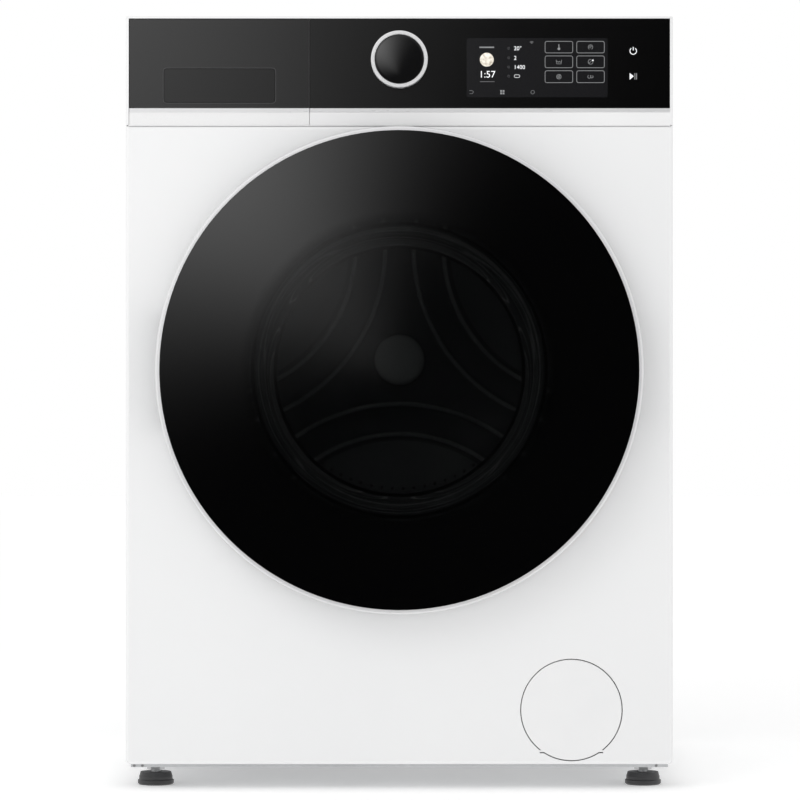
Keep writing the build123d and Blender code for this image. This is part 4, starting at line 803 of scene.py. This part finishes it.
def power_and_start():
    """The two keys at the right: a power ring, and a start triangle with its pause bars."""
    x = 255.5 * MM
    z = 807 * MM
    mark_line("power_ring", arc(x, z, 3.6 * MM, 125, 415), 0.9 * MM, BRIGHT_MARK)
    mark_line("power_bar", straight((x, z + 0.6 * MM), (x, z + 4.4 * MM)), 0.9 * MM, BRIGHT_MARK)
    z = 779.3 * MM
    left = x - 3.9 * MM
    half = 3.7 * MM
    triangle = straight((left, z - half), (x + 0.6 * MM, z), (left, z + half))
    mark_spot("start_triangle", triangle, BRIGHT_MARK)
    half = 3.4 * MM
    for number, shift in enumerate((1.8, 3.6)):
        bar = straight((x + shift * MM, z - half), (x + shift * MM, z + half))
        mark_line(f"pause_bar_{number}", bar, 1.0 * MM, GREY_MARK)


display_window()
display_picture()
display_readings()
display_symbols()
touch_keys()
power_and_start()


# ---------------------------------------------------------------- knob
def domed_cap():
    """Slightly crowned gloss cap that stands for the flat one."""
    low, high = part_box("knob_cap")
    radius = (high.x - low.x) / 2
    crown = 0.85 * MM
    shaft = 3 * MM
    seat = front - 1 * MM
    steps = 12
    crowned = radius * 0.96
    profile = [(crowned * step / steps, low.y + crown * (step / steps) ** 2) for step in range(steps + 1)]
    profile += [(radius * 0.985, low.y + crown + 0.15 * MM), (radius, low.y + crown + 0.8 * MM)]
    profile += [(radius, seat), (shaft, seat), (shaft, high.y), (0.0, high.y)]
    cap = turned("knob_face", profile, 0.0, knob_z, gloss_black("knob_gloss", 0.006, 0.05), "knob")
    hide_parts("knob_cap")


domed_cap()


# ---------------------------------------------------------------- door glasses
def door_lens():
    """Domed outer glass of the door, as one smooth shell."""
    low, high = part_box("door_glass_cover")
    rim = (high.x - low.x) / 2
    glass = 4 * MM
    dome = high.y - low.y - glass
    ball = (rim**2 + dome**2) / (2 * dome)
    steps = 40
    stations = [rim * step / steps for step in range(steps + 1)]
    face = [(radius, low.y + ball - (ball**2 - radius**2) ** 0.5) for radius in stations]
    back = [(radius, y + glass) for radius, y in reversed(face)]
    lens = turned("door_lens", face + back, 0.0, door_z, DOOR_GLASS, "door", 192)
    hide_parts("door_glass_cover")


def bowl():
    """Pressed glass bowl with rounded corners, which reaches into the drum's mouth."""
    low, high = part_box("door_bowl")
    flange = (high.x - low.x) / 2
    waist = flange - 14 * MM
    wall = 5 * MM
    tip = high.y
    corner = 134 * MM
    flat = 70 * MM
    turns = [pi / 2 * step / 6 for step in range(1, 7)]
    outer = [(flange, low.y), (flange, low.y + wall), (waist, low.y + wall)]
    outer += [(waist - 0.5 * MM, low.y + 20 * MM), (156 * MM, tip - 70 * MM)]
    outer += [(148 * MM, tip - 32 * MM), (143 * MM, tip - 18 * MM)]
    for turn in turns:
        outer.append((corner - 10 * MM + 16 * MM * cos(turn), tip - 14 * MM + 14 * MM * sin(turn)))
    outer += [(flat, tip), (0.0, tip)]
    inner = [(0.0, tip - wall), (flat, tip - wall)]
    bend = 12 * MM
    for turn in reversed(turns):
        inner.append((corner - bend + bend * cos(turn), tip - wall - bend + bend * sin(turn)))
    inner += [(141 * MM, tip - 34 * MM), (150.5 * MM, tip - 70 * MM)]
    inner += [(waist - wall, low.y + 19 * MM), (waist - wall, low.y)]
    piece = turned("bowl_pressing", outer + inner, 0.0, door_z, BOWL_GLASS, "door", 160)
    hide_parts("door_bowl")


door_lens()
bowl()


# ---------------------------------------------------------------- drawer and lower band
def drawer_details():
    """Bright strip on the drawer, and a fine grey bead round its grip flap and along its right edge, lighter
    than the black glass: a painted highlight of the thin line of light on those edges.
    """
    outline = rounded_rectangle(
        (drawer_low.x + 0.2 * MM, drawer_high.x - 0.1 * MM), (trim_z[0], trim_z[1]), 0.4 * MM, trim_low.y
    )
    strip = plate("drawer_trim", outline, 0.45 * MM, TRIM, "drawer")
    pin = 2 * MM
    around = 0.9 * MM
    bead = rounded_rectangle(
        (flap_low.x + pin - around, flap_high.x - pin + around),
        (flap_low.z - around, flap_high.z + around),
        3.6 * MM,
        front + 0.05 * MM,
    )
    # Grey bead colour, lighter than the black glass round it: painted highlight on the flap's edge and the
    # drawer's right edge.
    edge = moulded("flap_bead", (0.06, 0.06, 0.062), (0.09, 0.09, 0.092), 0.3)
    tube("drawer_flap_highlight_bead", bead, 0.6 * MM, edge, "drawer", True)
    x = drawer_high.x - 0.25 * MM
    side = [(x, front + 0.15 * MM, trim_z[1] + 0.3 * MM), (x, front + 0.15 * MM, drawer_high.z - 0.3 * MM)]
    tube("drawer_edge_highlight_bead", side, 0.5 * MM, edge, "drawer")


def seam_strip():
    """White strip set back in the gap between the control strip and the front panel."""
    outline = rounded_rectangle(
        (panel_low.x + 3 * MM, panel_high.x - 3 * MM),
        (panel_high.z - 0.3 * MM, trim_z[0] - BAND_HEIGHT),
        0.2 * MM,
        front + 0.35 * MM,
    )
    plate("front_seam_strip", outline, 0.5 * MM, WHITE_PLASTIC, "cabinet")


drawer_details()
seam_strip()


# ---------------------------------------------------------------- drum
def pressing(x, z, bead):
    """How far the drum's back stands behind its face at a place: raised beads are negative."""
    bead_width = 2.4 * MM
    channel_depth = 2.0 * MM
    shoulder = 3 * MM
    disc_height = 3.6 * MM
    disc_shoulder = 4 * MM
    depth = 0.0
    for cx, cz in bow_centres():
        off = ((x - cx) ** 2 + (z - cz) ** 2) ** 0.5 - BOW_RADIUS
        for edge in (0.0, -CHANNEL):
            depth -= bead * exp(-(((off - edge) / bead_width) ** 2))
        if -CHANNEL < off < 0:
            depth += channel_depth * (1 - exp(-((min(-off, off + CHANNEL) / shoulder) ** 2)))
    radius = (x**2 + (z - drum_z) ** 2) ** 0.5
    if radius < HUB_DISC:
        depth -= disc_height * min(1.0, (HUB_DISC - radius) / disc_shoulder) ** 0.5
    return depth


def drum_wall():
    """Pressed back wall of the drum: three curved channels with raised beads, and a domed hub disc."""
    low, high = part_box("drum_back")
    rim = (high.x - low.x) / 2
    bead = 2.4 * MM
    face = low.y + bead + 1.6 * MM
    back = face + 3 * MM
    sheet = 1.2 * MM
    steps = 150
    bm = bmesh.new()

    def loop(radius, y=None):
        ring = []
        for angle in circle(420):
            x = radius * cos(angle)
            z = drum_z + radius * sin(angle)
            height = max(face + pressing(x, z, bead), low.y) if y is None else y
            ring.append(bm.verts.new((x, height, z)))
        return ring

    def cap(ring, y):
        pole = bm.verts.new((0, y, drum_z))
        for first, second in zip(ring, ring[1:] + ring[:1]):
            bm.faces.new((first, second, pole))

    loops = [loop(rim * step / steps) for step in range(1, steps + 1)]
    loops += [loop(rim, high.y), loop(rim - sheet, high.y), loop(rim - sheet, back), loop(20 * MM, back)]
    for inner, outer in zip(loops, loops[1:]):
        join_loops(bm, inner, outer)
    cap(loops[0], face - 3.6 * MM)
    cap(loops[-1], back)
    wall = from_bmesh("drum_wall", bm, drum_back_steel(), "drum")
    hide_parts("drum_back")


drum_wall()


# ---------------------------------------------------------------- soft parts between cabinet and tub
# Depth behind the gasket's front and drop below its lip, in millimetres, along its folds.
GASKET_FOLDS = (
    (3.2, 0), (0.6, 1), (0, 5), (0.4, 12), (3, 16.5), (12, 17.2),
    (20, 16.5), (25, 12), (28, 6), (31, 5), (34, 9), (37, 17),
    (40, 20), (44, 17), (48, 11), (54, 11), (60, 13),
)


def gasket():
    """Door gasket: a rolled lip, folds that step up to the tub's axis, and the tub end."""
    lip = 199 * MM
    start = gasket_low.y
    stations = [(start + depth * MM, lip - drop * MM) for depth, drop in GASKET_FOLDS]
    stations.append((gasket_high.y, lip - 13.5 * MM))
    wall = 2.2 * MM
    outline = stations + [(y - 0.2 * MM, radius - wall) for y, radius in reversed(stations)]
    rings = []
    rise_start = front + 16 * MM
    rise_length = 34 * MM
    for y, radius in outline:
        share = min(max((y - rise_start) / rise_length, 0.0), 1.0)
        centre = door_z + (drum_z - door_z) * share * share * (3 - 2 * share)
        rings.append([(radius * cos(angle), y, centre + radius * sin(angle)) for angle in circle(128)])
    piece = from_bmesh("gasket_bellows", rings_mesh(rings, True), RUBBER, None)
    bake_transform(piece)
    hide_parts("door_gasket")


def spring(name, x, y, low, high, radius, wire):
    """Close-wound tension spring with a hook at each end."""
    turns = 26
    per_turn = 12
    neck = 6 * MM
    hook = 14 * MM
    steps = turns * per_turn
    points = [(x, y, low), (x, y, low + neck)]
    for step in range(steps + 1):
        angle = 2 * pi * step / per_turn
        z = low + hook + (high - low - 2 * hook) * step / steps
        points.append((x + radius * cos(angle), y + radius * sin(angle), z))
    points += [(x, y, high - neck), (x, y, high)]
    return tube(name, points, wire, STEEL, "cabinet", resolution=2)


def springs():
    """Both suspension springs, which stretch as the tub moves."""
    low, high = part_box("suspension_springs")
    y = (low.y + high.y) / 2
    reach = 12 * MM
    for name, x in (("left_spring", low.x + reach), ("right_spring", high.x - reach)):
        coil = spring(name, x, y, low.z, high.z, 10.4 * MM, 2.8 * MM)
        coil.parent = None
        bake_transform(coil)
        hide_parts("suspension_springs")


def along_route(points, rounds=4, step=2 * MM):
    """Evenly spaced (point, direction) pairs on the smooth line that a few corners round off to."""
    for _ in range(rounds):
        softer = [points[0]]
        for first, second in zip(points, points[1:]):
            softer += [first.lerp(second, 0.25), first.lerp(second, 0.75)]
        points = softer + [points[-1]]
    line = []
    left = 0.0
    for first, second in zip(points, points[1:]):
        run = (second - first).length
        if run < 1e-9:
            continue
        along = (second - first) / run
        while left < run:
            line.append((first + along * left, along))
            left += step
        left -= run
    line.append((points[-1], along))
    return line


def corrugated(name, node, centres, outer, wall, fold, pitch):
    """Corrugated sleeve along centres, pitch of them to a fold, blended between the cabinet and the tub."""
    rings = []
    inner = []
    across = Vector((0, 0, 1)).cross(centres[0][1])
    if across.length < 0.1:
        across = Vector((1, 0, 0))
    for step, (point, along) in enumerate(centres):
        swell = fold * (0.5 + 0.5 * cos(2 * pi * step / pitch))
        across = (across - along * across.dot(along)).normalized()
        other = along.cross(across)
        for holder, radius in ((rings, outer - fold + swell), (inner, outer - fold + swell - wall)):
            around = [across * cos(angle) + other * sin(angle) for angle in circle(40)]
            holder.append([point + direction * radius for direction in around])
    piece = from_bmesh(name, rings_mesh(rings + inner[::-1], True), RUBBER, None)
    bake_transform(piece)
    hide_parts(node)


def soft_hoses():
    """Bellows from the dispenser to the tub, and from the sump to the filter."""
    low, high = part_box("dispenser_hose")
    x = (low.x + high.x) / 2
    y = (low.y + high.y) / 2
    steps = 40
    down = Vector((0, 0, -1))
    line = [(Vector((x, y, high.z + (low.z - high.z) * step / steps)), down) for step in range(steps + 1)]
    outer = (high.x - low.x) / 2
    corrugated("dispenser_bellows", "dispenser_hose", line, outer, 2 * MM, 2.2 * MM, 5)
    low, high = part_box("sump_hose")
    outer = 20 * MM
    top = Vector((low.x + outer, high.y - outer, high.z))
    port = Vector((high.x, low.y + outer, low.z + outer))
    bend = Vector((top.x, top.y, (top.z + port.z) / 2 + 6 * MM))
    elbow = Vector((top.x, port.y, port.z))
    line = along_route([top, bend, elbow, port])
    corrugated("sump_bellows", "sump_hose", line, outer, 2.5 * MM, 2.4 * MM, 5)


gasket()
springs()
soft_hoses()


# ---------------------------------------------------------------- small things
def base_details():
    """Small screws at both ends of the base's front edge."""
    z = tray_low.z + 1.6 * MM
    y = tray_low.y
    thickness = 0.4 * MM
    for number, x in enumerate((tray_low.x + 4 * MM, tray_low.x + 13 * MM, tray_high.x - 13 * MM)):
        head = arc(x, z, 1.5 * MM, 0, 345, 23, y - thickness)
        plate(f"base_screw_{number}", head, thickness, STEEL, "cabinet")


base_details()


# ---------------------------------------------------------------- floor, light and camera
def studio_floor():
    """White floor that reflections don't see."""
    bm = bmesh.new()
    size = 12.0
    corners = [(-size, -size), (size, -size), (size, size), (-size, size)]
    bm.faces.new([bm.verts.new((x, y, 0)) for x, y in corners])
    g = Graph("studio_floor")
    speck = g.noise(40, 2)
    white = g.surface(
        Base_Color=g.tint(speck, (0.93, 0.93, 0.93), (0.96, 0.96, 0.96)),
        Roughness=0.9,
        Emission_Color=(1, 1, 1, 1),
        Emission_Strength=0.25,
    )
    floor = from_bmesh("studio_floor", bm, g.finish(white), None, smooth=False)
    floor.visible_glossy = False


def studio_world():
    """World that is white to the eye, and to reflections a soft lobe up to the left of the front."""
    heading = radians(130)
    width = radians(33)
    lobe_level = 14.5
    full_spread = 0.2
    fade_start = 0.22
    fade_width = 0.28
    side_level = 0.8
    room_level = 0.8
    eye_level = 1.0
    world = bpy.data.worlds.new("studio")
    bpy.context.scene.world = world
    world.use_nodes = True
    tree = world.node_tree
    tree.nodes.clear()
    add = tree.nodes.new
    link = tree.links.new

    def math(operation, first, second=0.0):
        node = add("ShaderNodeMath")
        node.operation = operation
        for socket, value in zip(node.inputs, (first, second)):
            if isinstance(value, bpy.types.NodeSocket):
                link(value, socket)
            else:
                socket.default_value = value
        return node.outputs[0]

    def swap(share, first, second):
        kept = math("MULTIPLY", math("SUBTRACT", 1.0, share), first)
        return math("ADD", kept, math("MULTIPLY", share, second))

    split = add("ShaderNodeSeparateXYZ")
    link(add("ShaderNodeTexCoord").outputs["Generated"], split.inputs[0])
    east, north, rise = split.outputs
    spread = math("SQRT", math("ADD", math("POWER", east, 2.0), math("POWER", rise, 2.0)))
    along = math("ADD", math("MULTIPLY", east, cos(heading)), math("MULTIPLY", rise, sin(heading)))
    turn = math("ARCCOSINE", math("DIVIDE", along, math("MAXIMUM", spread, 0.001)))
    narrow = math("EXPONENT", math("MULTIPLY", math("POWER", math("DIVIDE", turn, width), 2.0), -1.0))
    lobe = math("MULTIPLY", math("MULTIPLY", math("MINIMUM", spread, full_spread), lobe_level), narrow)
    away = math("DIVIDE", math("SUBTRACT", spread, fade_start), fade_width)
    away = math("MINIMUM", math("MAXIMUM", away, 0.0), 1.0)
    aside = math("MAXIMUM", away, math("GREATER_THAN", north, 0.0))
    soft = swap(aside, lobe, side_level)
    path = add("ShaderNodeLightPath")
    plain = swap(path.outputs["Is Camera Ray"], room_level, eye_level)
    background = add("ShaderNodeBackground")
    link(swap(path.outputs["Is Glossy Ray"], plain, soft), background.inputs["Strength"])
    background.inputs["Color"].default_value = (1, 1, 1, 1)
    out = add("ShaderNodeOutputWorld")
    link(background.outputs[0], out.inputs["Surface"])


def key_light():
    """Soft light from the upper left, which neither the camera nor a reflection sees."""
    lamp = bpy.data.lights.new("key", "AREA")
    lamp.size = 1.6
    lamp.energy = 11
    key = bpy.data.objects.new("key", lamp)
    key.location = (-1.3, front - 1.9, 1.9)
    target = Vector((0, 0, 0.45))
    key.rotation_mode = "QUATERNION"
    key.rotation_quaternion = (target - key.location).to_track_quat("-Z", "Y")
    key.visible_glossy = False
    key.visible_camera = False
    bpy.context.scene.collection.objects.link(key)


def camera():
    """Level camera far in front, looking at the middle of the machine."""
    distance = 4.0
    field = 874 * MM
    aside = 0.7 * MM
    height = 425.7 * MM
    data = bpy.data.cameras.new("camera")
    data.sensor_width = 36.0
    data.lens = data.sensor_width * distance / field
    seat = bpy.data.objects.new("camera", data)
    seat.location = (aside, front - distance, height)
    seat.rotation_euler = (pi / 2, 0, 0)
    bpy.context.scene.collection.objects.link(seat)
    bpy.context.scene.camera = seat


studio_floor()
studio_world()
key_light()
camera()
bpy.context.scene.view_settings.view_transform = "Standard"
